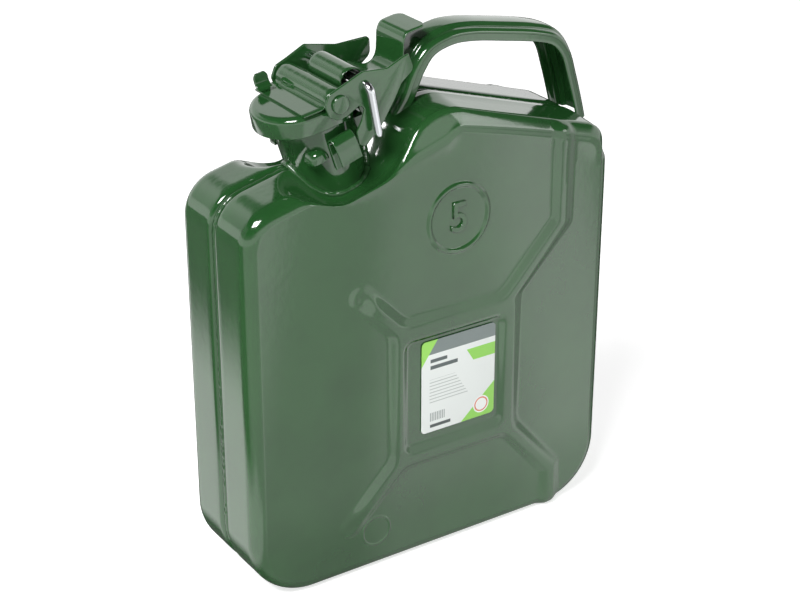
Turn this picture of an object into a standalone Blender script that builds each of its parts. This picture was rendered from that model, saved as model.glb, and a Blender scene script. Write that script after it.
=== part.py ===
"""Five litre pressed steel fuel can: two ribbed halves welded along a middle seam, a carrying handle,
and a tilted filler neck closed by a hinged cap with a cam lever and a locking pin.

Metres, +Z up. X runs from the spout end (-X) to the handle's rear foot (+X), Y across the can, and the
near half is at -Y. The origin is the middle of the base.
"""
import math

import bmesh
import bpy
from mathutils import Matrix, Vector

MM = 0.001
GAP = 0.3 * MM
SMOOTH = math.radians(32.0)

# Body outline in XZ: corner points of the outer wall and the radius of each corner.
FRONT_X = -131.5 * MM
REAR_X = 131.5 * MM
FRONT_TOP_Z = 257.5 * MM
BREAK_X = -80.0 * MM
BREAK_Z = FRONT_TOP_Z + 12.5 * MM
PEAK_X = 10.0 * MM
PEAK_Z = BREAK_Z + 30.5 * MM
REAR_TOP_Z = PEAK_Z - 37.0 * MM
OUTLINE = [(FRONT_X, 0.0), (REAR_X, 0.0), (REAR_X, REAR_TOP_Z), (PEAK_X, PEAK_Z), (BREAK_X, BREAK_Z), (FRONT_X, FRONT_TOP_Z)]
OUTLINE_R = [42.0 * MM, 42.0 * MM, 22.0 * MM, 32.0 * MM, 60.0 * MM, 26.0 * MM]
OUTLINE_STEPS = [7, 7, 6, 5, 3, 6]
WALL = 1.0 * MM
FIELD_Y = 39.6 * MM
RIB_Y = 42.0 * MM
EDGE_R = 17.0 * MM
RIB_EDGE_R = 19.6 * MM
RIB_INSET = 0.4 * MM
LIP_R = 4.5 * MM
SEAM_HALF = 1.3 * MM
FLANGE = 3.0 * MM
EDGE_STEPS = 5
LIP_STEPS = 3

LABEL_X = 15.9 * MM
LABEL_Z = 118.9 * MM
LABEL_W = 55.5 * MM
LABEL_H = 64.0 * MM
LABEL_T = 0.3 * MM

# Recess round the label and the raised frame round the recess: sides from the label outwards.
RECESS_X0 = LABEL_X - LABEL_W / 2 - 5.2 * MM
RECESS_X1 = LABEL_X + LABEL_W / 2 + 2.4 * MM
RECESS_Z0 = LABEL_Z - LABEL_H / 2 - 7.9 * MM
RECESS_Z1 = LABEL_Z + LABEL_H / 2 + 11.1 * MM
FRAME_X0 = RECESS_X0 - 16.0 * MM
FRAME_X1 = RECESS_X1 + 4.5 * MM
FRAME_Z0 = RECESS_Z0 - 10.0 * MM
FRAME_Z1 = RECESS_Z1 + 13.0 * MM

# Raised X pressing on each big face, as outlines in XZ.
RIB_DRAFT = 2.0 * MM
ARM_HALF = 5.6 * MM
FRAME = [(FRAME_X0, FRAME_Z0), (FRAME_X1, FRAME_Z0), (FRAME_X1, FRAME_Z1), (FRAME_X0, FRAME_Z1)]
ARMS = [
    [(FRAME_X1 - 10.5 * MM, FRAME_Z1 - 15.0 * MM), (FRAME_X1 + 37.5 * MM, FRAME_Z1 + 41.0 * MM), (FRAME_X1 + 40.5 * MM, FRAME_Z1 + 97.0 * MM)],
    [(FRAME_X0 + 13.0 * MM, FRAME_Z1 - 15.0 * MM), (FRAME_X0 - 27.0 * MM, FRAME_Z1 + 25.0 * MM)],
    [(FRAME_X0 + 13.0 * MM, FRAME_Z0 + 15.0 * MM), (FRAME_X0 - 32.0 * MM, FRAME_Z0 - 32.0 * MM)],
    [(FRAME_X1 - 10.5 * MM, FRAME_Z0 + 15.0 * MM), (FRAME_X1 + 32.5 * MM, FRAME_Z0 - 40.0 * MM), (FRAME_X1 + 34.5 * MM, FRAME_Z0 - 75.0 * MM)],
]
RECESS = [(RECESS_X0, RECESS_Z0), (RECESS_X1, RECESS_Z0), (RECESS_X1, RECESS_Z1), (RECESS_X0, RECESS_Z1)]
RECESS_DEPTH = 2.2 * MM
CORNER_R = 5.0 * MM

# Embossed ring with a plain numeral, and a small bare ring.
RING_X = 14.7 * MM
RING_Z = 228.0 * MM
RING_R = 21.4 * MM
RING_BEAD = 1.7 * MM
RING_SINK = 0.5 * MM
DIGIT_SIZE = 27.0 * MM
DIGIT_RISE = 1.1 * MM
SMALL_X = -45.0 * MM
SMALL_Z = 28.0 * MM
SMALL_R = 10.0 * MM
SMALL_BEAD = 1.3 * MM

# Seam: the welded edge that stands in the groove between the halves.
BEAD_TOP = 1.6 * MM
BEAD_ROOT = 7.0 * MM
BEAD_HALF = 1.0 * MM

# Neck and cap each have a tilted frame about one point: T runs rearwards and up, H along its axis.
TILT = math.radians(18.0)
CAP_TILT = math.radians(10.0)
NECK_X = -64.0 * MM
NECK_Z = BREAK_Z + 28.0 * MM
NECK_R = 23.6 * MM
NECK_WALL = 1.2 * MM
NECK_TOP = 8.0 * MM
NECK_SPARE = 8.0 * MM
NECK_FOOT = -52.0 * MM
LIP_BEAD = 1.4 * MM
# Pressed shoulder beside the neck on each half, as outlines in (T, Y) at its floor and its mouth.
SCOOP_LOW = -41.0 * MM
SCOOP_HIGH = -8.0 * MM
SCOOP_R = 9.0 * MM
SCOOP_EDGE = 3.0 * MM
SCOOP_FLOOR = [(-21.0 * MM, -20.0 * MM), (-24.0 * MM, -60.0 * MM), (30.0 * MM, -60.0 * MM), (22.0 * MM, -20.0 * MM)]
SCOOP_MOUTH = [(-24.0 * MM, -11.0 * MM), (-31.0 * MM, -66.0 * MM), (66.0 * MM, -66.0 * MM), (44.0 * MM, -11.0 * MM)]
STOP_T = -13.4 * MM
STOP_H = -16.0 * MM
STOP_R = 6.4 * MM
STOP_OUT = NECK_R + 3.0 * MM

CAP_T = -4.5 * MM
CAP_R = NECK_R + 6.4 * MM
CAP_FLAT = NECK_R + 3.6 * MM
CAP_TOP = 12.6 * MM
CAP_WALL = 1.0 * MM
CAP_ROUND = 3.0 * MM
GASKET_IN = NECK_R - 8.6 * MM
GASKET_OUT = NECK_R + 0.8 * MM
GASKET_LOW = NECK_TOP + LIP_BEAD + GAP
GASKET_HIGH = CAP_TOP - CAP_WALL - GAP

# Front axle of the lever, safety pin axis and lid hinge, all along Y.
AXLE = Vector((NECK_X + 1.7 * MM, 0.0, NECK_Z + 14.7 * MM))
PIN = Vector((NECK_X + 18.4 * MM, 0.0, NECK_Z + 23.6 * MM))
HINGE_T = NECK_R + 7.9 * MM
HINGE_H = -3.0 * MM

ARCH_R = 9.2 * MM
SHEET = 1.3 * MM
PLATE_HALF = CAP_FLAT + 0.7 * MM
PLATE_H = CAP_TOP + GAP
PLATE_FRONT_T = -18.0 * MM
ARM_IN = CAP_FLAT + 0.4 * MM
ARM_OUT = CAP_FLAT + 1.8 * MM
RIVET_R = 3.0 * MM
RIVET_HEAD_R = 5.6 * MM
RIVET_HEAD = 1.6 * MM

CHEEK_IN = ARM_OUT + 0.4 * MM
CHEEK_T = 1.6 * MM
CHEEK_ROUND = 1.0 * MM
CHEEK_OUT = CHEEK_IN + CHEEK_T
PIN_R = 2.5 * MM
PIN_CLEAR = 0.3 * MM
ROLL_R = 6.6 * MM
ROLL_HALF = 19.4 * MM
TAB_HALF = 14.5 * MM
TAB_HOLE_R = 3.0 * MM
# Cheek outline in XZ from the front axle.
CHEEK = [
    (-6.9 * MM, 6.9 * MM), (0.5 * MM, 10.2 * MM), (15.0 * MM, 16.5 * MM), (31.6 * MM, 15.4 * MM),
    (41.8 * MM, 19.9 * MM), (46.5 * MM, 21.6 * MM), (50.3 * MM, 11.7 * MM), (41.9 * MM, 4.6 * MM),
    (36.9 * MM, -4.9 * MM), (27.1 * MM, -20.2 * MM), (16.4 * MM, -29.3 * MM), (12.6 * MM, -27.0 * MM),
    (11.0 * MM, -19.3 * MM), (14.7 * MM, -12.3 * MM), (16.6 * MM, -6.1 * MM), (13.4 * MM, -3.4 * MM),
    (5.0 * MM, -8.2 * MM), (-1.0 * MM, -9.8 * MM), (-6.9 * MM, -6.9 * MM), (-9.8 * MM, 0.0),
]
# Web of the lever: roll top, back over the cheeks and up into the thumb tab.
WEB = [(2.0 * MM, 6.4 * MM), (14.0 * MM, 5.6 * MM), (27.0 * MM, 7.4 * MM), (32.5 * MM, 9.4 * MM)]
TAB = [(26.0 * MM, 7.2 * MM), (33.0 * MM, 9.8 * MM), (38.6 * MM, 17.2 * MM), (46.0 * MM, 19.4 * MM), (53.0 * MM, 20.8 * MM)]
TAB_HOLE_X = 46.4 * MM

PIN_FAR_Y = CHEEK_OUT + 2.5 * MM
PIN_LEG_Y = -CHEEK_OUT - 5.2 * MM
PIN_BEND = 5.0 * MM
PIN_FOOT_X = PIN.x + 5.8 * MM
PIN_FOOT_Z = PIN.z - 30.1 * MM

CATCH_T0 = -6.0 * MM
CATCH_T1 = 8.4 * MM
CATCH_IN = NECK_R + 1.0 * MM
CATCH_OUT = CATCH_IN + 9.3 * MM
CATCH_SHEET = 1.2 * MM
CATCH_TOP = -5.0 * MM
CATCH_LIP = -21.5 * MM
CATCH_FOOT = -27.0 * MM
CATCH_R = 4.0 * MM

EAR_IN = 10.0 * MM
EAR_T = 2.0 * MM
HINGE_PIN_R = 2.0 * MM
HINGE_PIN_HALF = 14.0 * MM
KNUCKLE_R = 4.2 * MM
EAR_R = 5.0 * MM
EAR_FRONT_T = NECK_R + 3.6 * MM
SADDLE_T = NECK_R - 5.6 * MM
BRACKET_LOW = -14.0 * MM

HANDLE_HALF = 12.5 * MM
HANDLE_SHEET = 1.4 * MM
HANDLE_THICK = 9.5 * MM
HANDLE_EDGE = 3.0 * MM
# Outer line of the handle, from the body's peak.
HANDLE_BACK = [
    (PEAK_X - 27.5 * MM, PEAK_Z - 8.1 * MM), (PEAK_X - 18.3 * MM, PEAK_Z + 1.0 * MM),
    (PEAK_X - 11.0 * MM, PEAK_Z + 16.0 * MM), (PEAK_X - 0.5 * MM, PEAK_Z + 28.0 * MM),
    (PEAK_X + 16.0 * MM, PEAK_Z + 32.7 * MM), (PEAK_X + 32.0 * MM, PEAK_Z + 32.5 * MM),
    (PEAK_X + 81.0 * MM, PEAK_Z + 23.1 * MM), (PEAK_X + 95.0 * MM, PEAK_Z + 17.0 * MM),
    (PEAK_X + 106.0 * MM, PEAK_Z + 6.0 * MM), (PEAK_X + 111.5 * MM, PEAK_Z - 8.5 * MM),
    (PEAK_X + 120.5 * MM, PEAK_Z - 35.0 * MM),
]

BREATHER_R = 4.0 * MM
BREATHER_BORE = 3.0 * MM
BREATHER_T = 6.8 * MM - NECK_R
BREATHER_TOP = 5.0 * MM
BREATHER_LOW = -58.0 * MM

ROUND_STEPS = 48
SMALL_STEPS = 24

GREEN = (0.040, 0.120, 0.042, 1.0)
ZINC = (0.75, 0.77, 0.80, 1.0)
RUBBER = (0.02, 0.02, 0.02, 1.0)
PAPER = (0.80, 0.82, 0.80, 1.0)


def clear_scene():
    for obj in list(bpy.data.objects):
        bpy.data.objects.remove(obj, do_unlink=True)


def collection(name, hidden=False):
    found = bpy.data.collections.new(name)
    bpy.context.scene.collection.children.link(found)
    found.hide_render = hidden
    return found


def material(name, colour, rough, metal):
    found = bpy.data.materials.new(name)
    found.use_nodes = True
    shader = found.node_tree.nodes["Principled BSDF"]
    shader.inputs["Base Color"].default_value = colour
    shader.inputs["Roughness"].default_value = rough
    shader.inputs["Metallic"].default_value = metal
    return found


def from_bmesh(name, bm, group):
    bmesh.ops.recalc_face_normals(bm, faces=bm.faces)
    mesh = bpy.data.meshes.new(name)
    bm.to_mesh(mesh)
    bm.free()
    obj = bpy.data.objects.new(name, mesh)
    group.objects.link(obj)
    return obj


def tilted(obj, tilt=TILT):
    """Puts an object made in (T, Y, H) into the neck's frame, or into the cap's with its tilt."""
    obj.matrix_world = Matrix.Translation((NECK_X, 0.0, NECK_Z)) @ Matrix.Rotation(-tilt, 4, "Y")
    bpy.context.view_layer.update()
    return obj


def combine(obj, other, operation):
    """Applies one exact Boolean and drops the second object."""
    step = obj.modifiers.new("step", "BOOLEAN")
    step.operation = operation
    step.object = other
    step.solver = "EXACT"
    bpy.context.view_layer.update()
    graph = bpy.context.evaluated_depsgraph_get()
    mesh = bpy.data.meshes.new_from_object(obj.evaluated_get(graph), depsgraph=graph)
    obj.modifiers.clear()
    old = obj.data
    obj.data = mesh
    bpy.data.meshes.remove(old)
    bpy.data.objects.remove(other, do_unlink=True)
    return obj


def offset_corners(points, distance):
    """Moves each side of a counter-clockwise polygon inwards by distance."""
    count = len(points)
    lines = []
    for i in range(count):
        a = Vector(points[i])
        b = Vector(points[(i + 1) % count])
        along = (b - a).normalized()
        lines.append((a + Vector((-along.y, along.x)) * distance, along))
    moved = []
    for i in range(count):
        a, u = lines[i - 1]
        b, v = lines[i]
        cross = u.x * v.y - u.y * v.x
        gap = b - a
        moved.append(a + u * ((gap.x * v.y - gap.y * v.x) / cross))
    return moved


def round_corners(points, radii, steps):
    """Replaces each corner of a polygon by an arc."""
    path = []
    count = len(points)
    for i in range(count):
        p = Vector(points[i])
        u = (Vector(points[i - 1]) - p).normalized()
        v = (Vector(points[(i + 1) % count]) - p).normalized()
        half = u.angle(v) / 2
        radius = radii[i]
        centre = p + (u + v).normalized() * (radius / math.sin(half))
        start = p + u * (radius / math.tan(half)) - centre
        end = p + v * (radius / math.tan(half)) - centre
        first = math.atan2(start.y, start.x)
        turn = (math.atan2(end.y, end.x) - first + math.pi) % (2 * math.pi) - math.pi
        for k in range(steps[i] + 1):
            a = first + turn * k / steps[i]
            path.append(centre + Vector((math.cos(a), math.sin(a))) * radius)
    return path


def body_outline(inset):
    return round_corners(offset_corners(OUTLINE, inset), [r - inset for r in OUTLINE_R], OUTLINE_STEPS)


def slab(bm, points, y0, y1):
    """Extrudes an XZ outline from y0 to y1 and returns the rim edges at each end."""
    face = bm.faces.new([bm.verts.new((p[0], y0, p[1])) for p in points])
    grown = bmesh.ops.extrude_face_region(bm, geom=[face], use_keep_orig=True)
    top = [g for g in grown["geom"] if isinstance(g, bmesh.types.BMVert)]
    bmesh.ops.translate(bm, verts=top, vec=(0.0, y1 - y0, 0.0))
    ends = []
    for y in (y0, y1):
        ends.append([e for e in bm.edges if all(abs(v.co.y - y) < abs(y1 - y0) * 0.001 for v in e.verts)])
    return ends


def prism(name, points, y0, y1, group, draft=0.0):
    """Closed block over an XZ outline. With a draft its y1 end is smaller by that much on each side."""
    bm = bmesh.new()
    low = [bm.verts.new((p[0], y0, p[1])) for p in points]
    tops = offset_corners(points, draft) if draft else points
    high = [bm.verts.new((p[0], y1, p[1])) for p in tops]
    bm.faces.new(low)
    bm.faces.new(high)
    for i in range(len(low)):
        k = (i + 1) % len(low)
        bm.faces.new((low[i], low[k], high[k], high[i]))
    return from_bmesh(name, bm, group)


def cylinder(name, radius, y0, y1, x, z, group, steps=SMALL_STEPS):
    """Cylinder along Y."""
    bm = bmesh.new()
    turn = Matrix.Translation((x, (y0 + y1) / 2, z)) @ Matrix.Rotation(math.pi / 2, 4, "X")
    bmesh.ops.create_cone(bm, cap_ends=True, segments=steps, radius1=radius, radius2=radius, depth=abs(y1 - y0), matrix=turn)
    return from_bmesh(name, bm, group)


def drum(name, radius, h0, h1, t, group, steps=ROUND_STEPS):
    """Cylinder along H in the tilted frame, not yet placed."""
    bm = bmesh.new()
    place = Matrix.Translation((t, 0.0, (h0 + h1) / 2))
    bmesh.ops.create_cone(bm, cap_ends=True, segments=steps, radius1=radius, radius2=radius, depth=h1 - h0, matrix=place)
    return from_bmesh(name, bm, group)


def box(name, low, high, group):
    bm = bmesh.new()
    size = [b - a for a, b in zip(low, high)]
    centre = [(a + b) / 2 for a, b in zip(low, high)]
    bmesh.ops.create_cube(bm, size=1.0, matrix=Matrix.Translation(centre) @ Matrix.Diagonal((*size, 1.0)))
    return from_bmesh(name, bm, group)


def shell_form(name, inset, face_y, edge_r, back_y, lip_r, group):
    """Near half of the body as a solid: rounded to the big face, and to the seam where lip_r is given."""
    bm = bmesh.new()
    back, front = slab(bm, body_outline(inset), -back_y, -face_y)
    bmesh.ops.bevel(bm, geom=front, offset=edge_r, offset_type="OFFSET", segments=EDGE_STEPS, profile=0.5,
                    affect="EDGES", clamp_overlap=False)
    if lip_r:
        back = [e for e in bm.edges if all(abs(v.co.y + back_y) < GAP / 10 for v in e.verts)]
        bmesh.ops.bevel(bm, geom=back, offset=lip_r, offset_type="OFFSET", segments=LIP_STEPS, profile=0.5,
                        affect="EDGES", clamp_overlap=False)
    return from_bmesh(name, bm, group)


def strip(path, half):
    """Closed outline around an open path, at half on each side."""
    left = []
    right = []
    for i in range(len(path)):
        p = Vector(path[i])
        before = (p - Vector(path[i - 1])).normalized() if i else None
        after = (Vector(path[i + 1]) - p).normalized() if i + 1 < len(path) else None
        along = (before + after).normalized() if before and after else (before or after)
        scale = half / (along.dot(before or after))
        side = Vector((-along.y, along.x)) * scale
        left.append(p + side)
        right.append(p - side)
    return right + left[::-1]


def pressed_solid(name, inset, emblem, group, cutters):
    """The near half's outer form, or with an inset the space inside it."""
    lip = LIP_R if not inset else LIP_R + inset
    back = SEAM_HALF + inset
    solid = shell_form(name, inset, FIELD_Y - inset, EDGE_R - inset, back, lip, group)
    outlines = [FRAME] + [strip(arm, ARM_HALF) for arm in ARMS]
    ribs = None
    for k, points in enumerate(outlines):
        grown = offset_corners(points, inset - RIB_DRAFT)
        rib = prism(name + "_rib", grown, -FIELD_Y / 2, -RIB_Y - GAP, group, RIB_DRAFT * 2.5)
        ribs = combine(ribs, rib, "UNION") if ribs else rib
    envelope = shell_form(name + "_env", inset + RIB_INSET, RIB_Y - inset, RIB_EDGE_R - inset, back + RIB_INSET, 0.0, group)
    combine(ribs, envelope, "INTERSECT")
    combine(solid, ribs, "UNION")
    hollow = offset_corners(RECESS, RIB_DRAFT / 2 - inset)
    deep = RIB_Y - RECESS_DEPTH - inset
    recess = round_corners(hollow, [CORNER_R] * 4, [2] * 4)
    combine(solid, prism(name + "_recess", recess, -RIB_Y - GAP, -deep, group), "DIFFERENCE")
    combine(solid, scoop(inset, group), "DIFFERENCE")
    if emblem:
        rise_emblem(solid, name, group)
    return solid


def rise_emblem(solid, name, group):
    for x, z, radius, bead in ((RING_X, RING_Z, RING_R, RING_BEAD), (SMALL_X, SMALL_Z, SMALL_R, SMALL_BEAD)):
        bpy.ops.mesh.primitive_torus_add(major_radius=radius, minor_radius=bead, major_segments=36, minor_segments=8,
                                         location=(x, -FIELD_Y + RING_SINK, z), rotation=(math.pi / 2, 0.0, 0.0))
        ring = bpy.context.active_object
        for old in list(ring.users_collection):
            old.objects.unlink(ring)
        group.objects.link(ring)
        combine(solid, ring, "UNION")
    text = bpy.data.curves.new(name + "_digit", "FONT")
    text.body = "5"
    text.size = DIGIT_SIZE
    text.align_x = "CENTER"
    text.align_y = "CENTER"
    text.extrude = DIGIT_RISE
    text.resolution_u = 3
    carrier = bpy.data.objects.new(name + "_digit", text)
    group.objects.link(carrier)
    carrier.matrix_world = Matrix.Translation((RING_X, -FIELD_Y, RING_Z)) @ Matrix.Rotation(math.pi / 2, 4, "X")
    combine(solid, mesh_of(carrier, group), "UNION")


def mesh_of(curve, group):
    """Replaces a curve or text object by a mesh object with welded caps."""
    bpy.context.view_layer.update()
    graph = bpy.context.evaluated_depsgraph_get()
    mesh = bpy.data.meshes.new_from_object(curve.evaluated_get(graph), depsgraph=graph)
    bm = bmesh.new()
    bm.from_mesh(mesh)
    bmesh.ops.remove_doubles(bm, verts=bm.verts, dist=GAP / 100)
    bmesh.ops.recalc_face_normals(bm, faces=bm.faces)
    bm.to_mesh(mesh)
    bm.free()
    obj = bpy.data.objects.new(curve.name + "_mesh", mesh)
    group.objects.link(obj)
    obj.matrix_world = curve.matrix_world.copy()
    bpy.data.objects.remove(curve, do_unlink=True)
    bpy.context.view_layer.update()
    return obj


def neck_cutter(group, radius):
    return tilted(drum("neck_cut", radius, NECK_FOOT * 1.2, NECK_TOP, 0.0, group))


def half_shell(name, emblem, group, cutters):
    """One pressed half as sheet, open to the seam and pierced by the neck."""
    shell = pressed_solid(name, 0.0, emblem, group, cutters)
    combine(shell, pressed_solid(name + "_in", WALL, False, group, cutters), "DIFFERENCE")
    mouth = prism(name + "_mouth", body_outline(LIP_R + FLANGE), 0.0, -SEAM_HALF - WALL * 2, group)
    combine(shell, mouth, "DIFFERENCE")
    combine(shell, neck_cutter(group, NECK_R + GAP), "DIFFERENCE")
    return shell


def mirror_across(obj):
    bm = bmesh.new()
    bm.from_mesh(obj.data)
    bmesh.ops.scale(bm, vec=(1.0, -1.0, 1.0), verts=bm.verts)
    bmesh.ops.reverse_faces(bm, faces=bm.faces)
    bm.to_mesh(obj.data)
    bm.free()
    return obj


def seam_bead(group):
    bead = prism("seam_bead", body_outline(BEAD_TOP), BEAD_HALF, -BEAD_HALF, group)
    combine(bead, prism("bead_in", body_outline(BEAD_ROOT), BEAD_HALF * 2, -BEAD_HALF * 2, group), "DIFFERENCE")
    combine(bead, neck_cutter(group, NECK_R + GAP), "DIFFERENCE")
    return bead


def neck_tube(group):
    """Tube on the neck's axis, its mouth cut level with the cap and rolled into a bead."""
    tube = tilted(drum("neck_tube", NECK_R, NECK_FOOT, NECK_TOP + NECK_SPARE, 0.0, group))
    reach = NECK_R * 3
    above = tilted(box("neck_above", (-reach, -reach, NECK_TOP), (reach, reach, NECK_TOP + reach), group), CAP_TILT)
    combine(tube, above, "DIFFERENCE")
    lean = -NECK_TOP * math.tan(TILT - CAP_TILT)
    bpy.ops.mesh.primitive_torus_add(major_radius=NECK_R - LIP_BEAD / 2, minor_radius=LIP_BEAD, major_segments=ROUND_STEPS,
                                     minor_segments=8)
    rim = bpy.context.active_object
    for old in list(rim.users_collection):
        old.objects.unlink(rim)
    group.objects.link(rim)
    rim.data.transform(Matrix.Translation((lean, 0.0, NECK_TOP)))
    combine(tube, tilted(rim, CAP_TILT), "UNION")
    bore = drum("neck_bore", NECK_R - NECK_WALL - LIP_BEAD / 2, NECK_FOOT - WALL, NECK_TOP + NECK_SPARE, 0.0, group)
    return combine(tube, tilted(bore), "DIFFERENCE")


def neck_stop(name, side, group):
    """Half-round lug on the neck's side, ahead of the catch."""
    points = [(STOP_T - STOP_R, STOP_H), (STOP_T + STOP_R, STOP_H)]
    for k in range(1, 10):
        a = math.pi * k / 10
        points.append((STOP_T + STOP_R * math.cos(a), STOP_H + STOP_R * math.sin(a)))
    lug = tilted(prism(name, points, side * NECK_R / 2, side * STOP_OUT, group))
    return combine(lug, neck_cutter(group, NECK_R + GAP), "DIFFERENCE")


def scoop(inset, group):
    """Cutter for the pressed shoulder; with an inset it is that much larger all round."""
    bm = bmesh.new()
    rings = []
    for outline, h in ((SCOOP_FLOOR, SCOOP_LOW - inset), (SCOOP_MOUTH, SCOOP_HIGH)):
        grown = offset_corners(outline, -inset)
        ring = round_corners(grown, [SCOOP_R] * 4, [3] * 4)
        rings.append([bm.verts.new((p.x, p.y, h)) for p in ring])
    low, high = rings
    bm.faces.new(low)
    bm.faces.new(high)
    for i in range(len(low)):
        k = (i + 1) % len(low)
        bm.faces.new((low[i], low[k], high[k], high[i]))
    bmesh.ops.recalc_face_normals(bm, faces=bm.faces)
    floor = [e for e in bm.edges if all(abs(v.co.z - SCOOP_LOW + inset) < GAP / 10 for v in e.verts)]
    bmesh.ops.bevel(bm, geom=floor, offset=SCOOP_EDGE, offset_type="OFFSET", segments=2, profile=0.5, affect="EDGES", clamp_overlap=True)
    return tilted(from_bmesh("scoop", bm, group))


def lid_cap(group):
    def cup(name, radius, flat, low, high, rounding):
        form = drum(name, radius, low, high, CAP_T, group)
        reach = radius * 2
        combine(form, box(name + "_flat", (-reach + CAP_T, -flat, low - reach), (reach + CAP_T, flat, high + reach), group), "INTERSECT")
        bm = bmesh.new()
        bm.from_mesh(form.data)
        rim = [e for e in bm.edges if all(abs(v.co.z - high) < GAP / 10 for v in e.verts)]
        bmesh.ops.bevel(bm, geom=rim, offset=rounding, offset_type="OFFSET", segments=4, profile=0.5, affect="EDGES", clamp_overlap=True)
        bm.to_mesh(form.data)
        bm.free()
        return form
    cap = cup("lid_cap", CAP_R, CAP_FLAT, 0.0, CAP_TOP, CAP_ROUND)
    inner = cup("cap_in", CAP_R - CAP_WALL, CAP_FLAT - CAP_WALL, -CAP_TOP, CAP_TOP - CAP_WALL, CAP_ROUND - CAP_WALL)
    combine(cap, inner, "DIFFERENCE")
    return tilted(cap, CAP_TILT)


def lid_gasket(group):
    ring = drum("gasket", GASKET_OUT, GASKET_LOW, GASKET_HIGH, CAP_T / 3, group)
    combine(ring, drum("gasket_bore", GASKET_IN, GASKET_LOW - GAP, GASKET_HIGH + GAP, CAP_T / 3, group), "DIFFERENCE")
    return tilted(ring, CAP_TILT)


def plate_path():
    """Side view of the lid plate in (T, H): flat lip, then an arch over the front axle."""
    back = Matrix.Rotation(CAP_TILT, 2)
    local = back.inverted() @ Vector((AXLE.x - NECK_X, AXLE.z - NECK_Z))
    points = [Vector((PLATE_FRONT_T, PLATE_H + SHEET / 2)), Vector((local.x - ARCH_R - SHEET, PLATE_H + SHEET / 2))]
    reach = ARCH_R - SHEET / 2
    low = PLATE_H + SHEET / 2 - local.y
    start = math.pi - math.asin(low / reach)
    for k in range(9):
        a = start + (math.asin(low / reach) - start) * k / 8
        points.append(local + Vector((math.cos(a), math.sin(a))) * reach)
    return points, local


def lid_plate(group):
    points, local = plate_path()
    plate = prism("lid_plate", strip(points, SHEET / 2), PLATE_HALF, -PLATE_HALF, group)
    for side in (1, -1):
        y0 = side * (PLATE_HALF - SHEET)
        y1 = side * ARM_OUT
        reach = ARCH_R - GAP
        arm = cylinder("arm", reach, y0, y1, local.x, local.y, group, ROUND_STEPS)
        tail = [(PLATE_FRONT_T / 2, PLATE_H), (local.x, PLATE_H - SHEET), (local.x, local.y + reach * 0.98), (PLATE_FRONT_T / 2, PLATE_H + SHEET)]
        combine(arm, prism("tail", tail, y0, y1, group), "UNION")
        keep = side * ARM_IN
        low = box("arm_low", (local.x - reach * 2, min(keep, y0 - side * SHEET), local.y - reach * 2),
                  (local.x + reach * 2, max(keep, y0 - side * SHEET), PLATE_H), group)
        combine(arm, low, "DIFFERENCE")
        combine(plate, arm, "UNION")
    combine(plate, cylinder("arm_hole", RIVET_R + GAP, -ARM_OUT * 2, ARM_OUT * 2, local.x, local.y, group), "DIFFERENCE")
    return tilted(plate, CAP_TILT)


def rivet(name, side, group):
    pin = cylinder(name, RIVET_R, side * (CAP_FLAT + GAP), side * (CHEEK_OUT + GAP + RIVET_HEAD / 2), AXLE.x, AXLE.z, group)
    bm = bmesh.new()
    turn = Matrix.Translation((AXLE.x, side * (CHEEK_OUT + GAP + RIVET_HEAD / 2), AXLE.z)) @ Matrix.Rotation(-side * math.pi / 2, 4, "X")
    bmesh.ops.create_cone(bm, cap_ends=True, segments=SMALL_STEPS, radius1=RIVET_HEAD_R, radius2=RIVET_HEAD_R * 0.6, depth=RIVET_HEAD, matrix=turn)
    combine(pin, from_bmesh(name + "_head", bm, group), "UNION")
    return pin


def hinge_point():
    return Matrix.Translation((NECK_X, 0.0, NECK_Z)) @ Matrix.Rotation(-CAP_TILT, 4, "Y") @ Vector((HINGE_T, 0.0, HINGE_H))


def lid_knuckle(group):
    """Strap on the cap's rear skirt with the lid's hinge knuckle at its foot."""
    half = EAR_IN - GAP
    knuckle = cylinder("lid_knuckle", KNUCKLE_R, -half, half, HINGE_T, HINGE_H, group)
    rear = CAP_T + CAP_R + GAP
    top = CAP_TOP - SHEET
    strap = [(rear, HINGE_H), (HINGE_T, HINGE_H), (HINGE_T, HINGE_H + KNUCKLE_R * 0.9), (rear + SHEET, HINGE_H + KNUCKLE_R * 1.6),
             (rear + SHEET, top), (rear, top)]
    combine(knuckle, prism("strap", strap, half, -half, group), "UNION")
    combine(knuckle, cylinder("knuckle_bore", HINGE_PIN_R + GAP / 4, -half * 2, half * 2, HINGE_T, HINGE_H, group), "DIFFERENCE")
    return tilted(knuckle, CAP_TILT)


def hinge_bracket(group):
    """Saddle that hugs the back of the neck, with two ears that hold the hinge pin."""
    outer = EAR_IN + EAR_T
    saddle = [(SADDLE_T, BRACKET_LOW), (EAR_FRONT_T + SHEET, BRACKET_LOW), (EAR_FRONT_T + SHEET, HINGE_H - KNUCKLE_R - GAP),
              (SADDLE_T, HINGE_H - KNUCKLE_R - GAP)]
    bracket = prism("hinge_bracket", saddle, outer, -outer, group)
    for side in (1, -1):
        y0 = side * EAR_IN
        y1 = side * outer
        ear = cylinder("ear", EAR_R, y0, y1, HINGE_T, HINGE_H, group)
        root = [(EAR_FRONT_T, BRACKET_LOW), (EAR_FRONT_T + SHEET * 2, BRACKET_LOW), (HINGE_T + EAR_R * 0.95, HINGE_H - EAR_R * 0.3),
                (HINGE_T - EAR_R * 0.4, HINGE_H + EAR_R * 0.9), (EAR_FRONT_T + CAP_WALL / 2, HINGE_H - GAP)]
        combine(ear, prism("ear_root", root, y0, y1, group), "UNION")
        combine(bracket, ear, "UNION")
    combine(bracket, cylinder("ear_bore", HINGE_PIN_R + GAP / 4, -outer * 2, outer * 2, HINGE_T, HINGE_H, group), "DIFFERENCE")
    tilted(bracket, CAP_TILT)
    return combine(bracket, neck_cutter(group, NECK_R + GAP), "DIFFERENCE")


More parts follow.
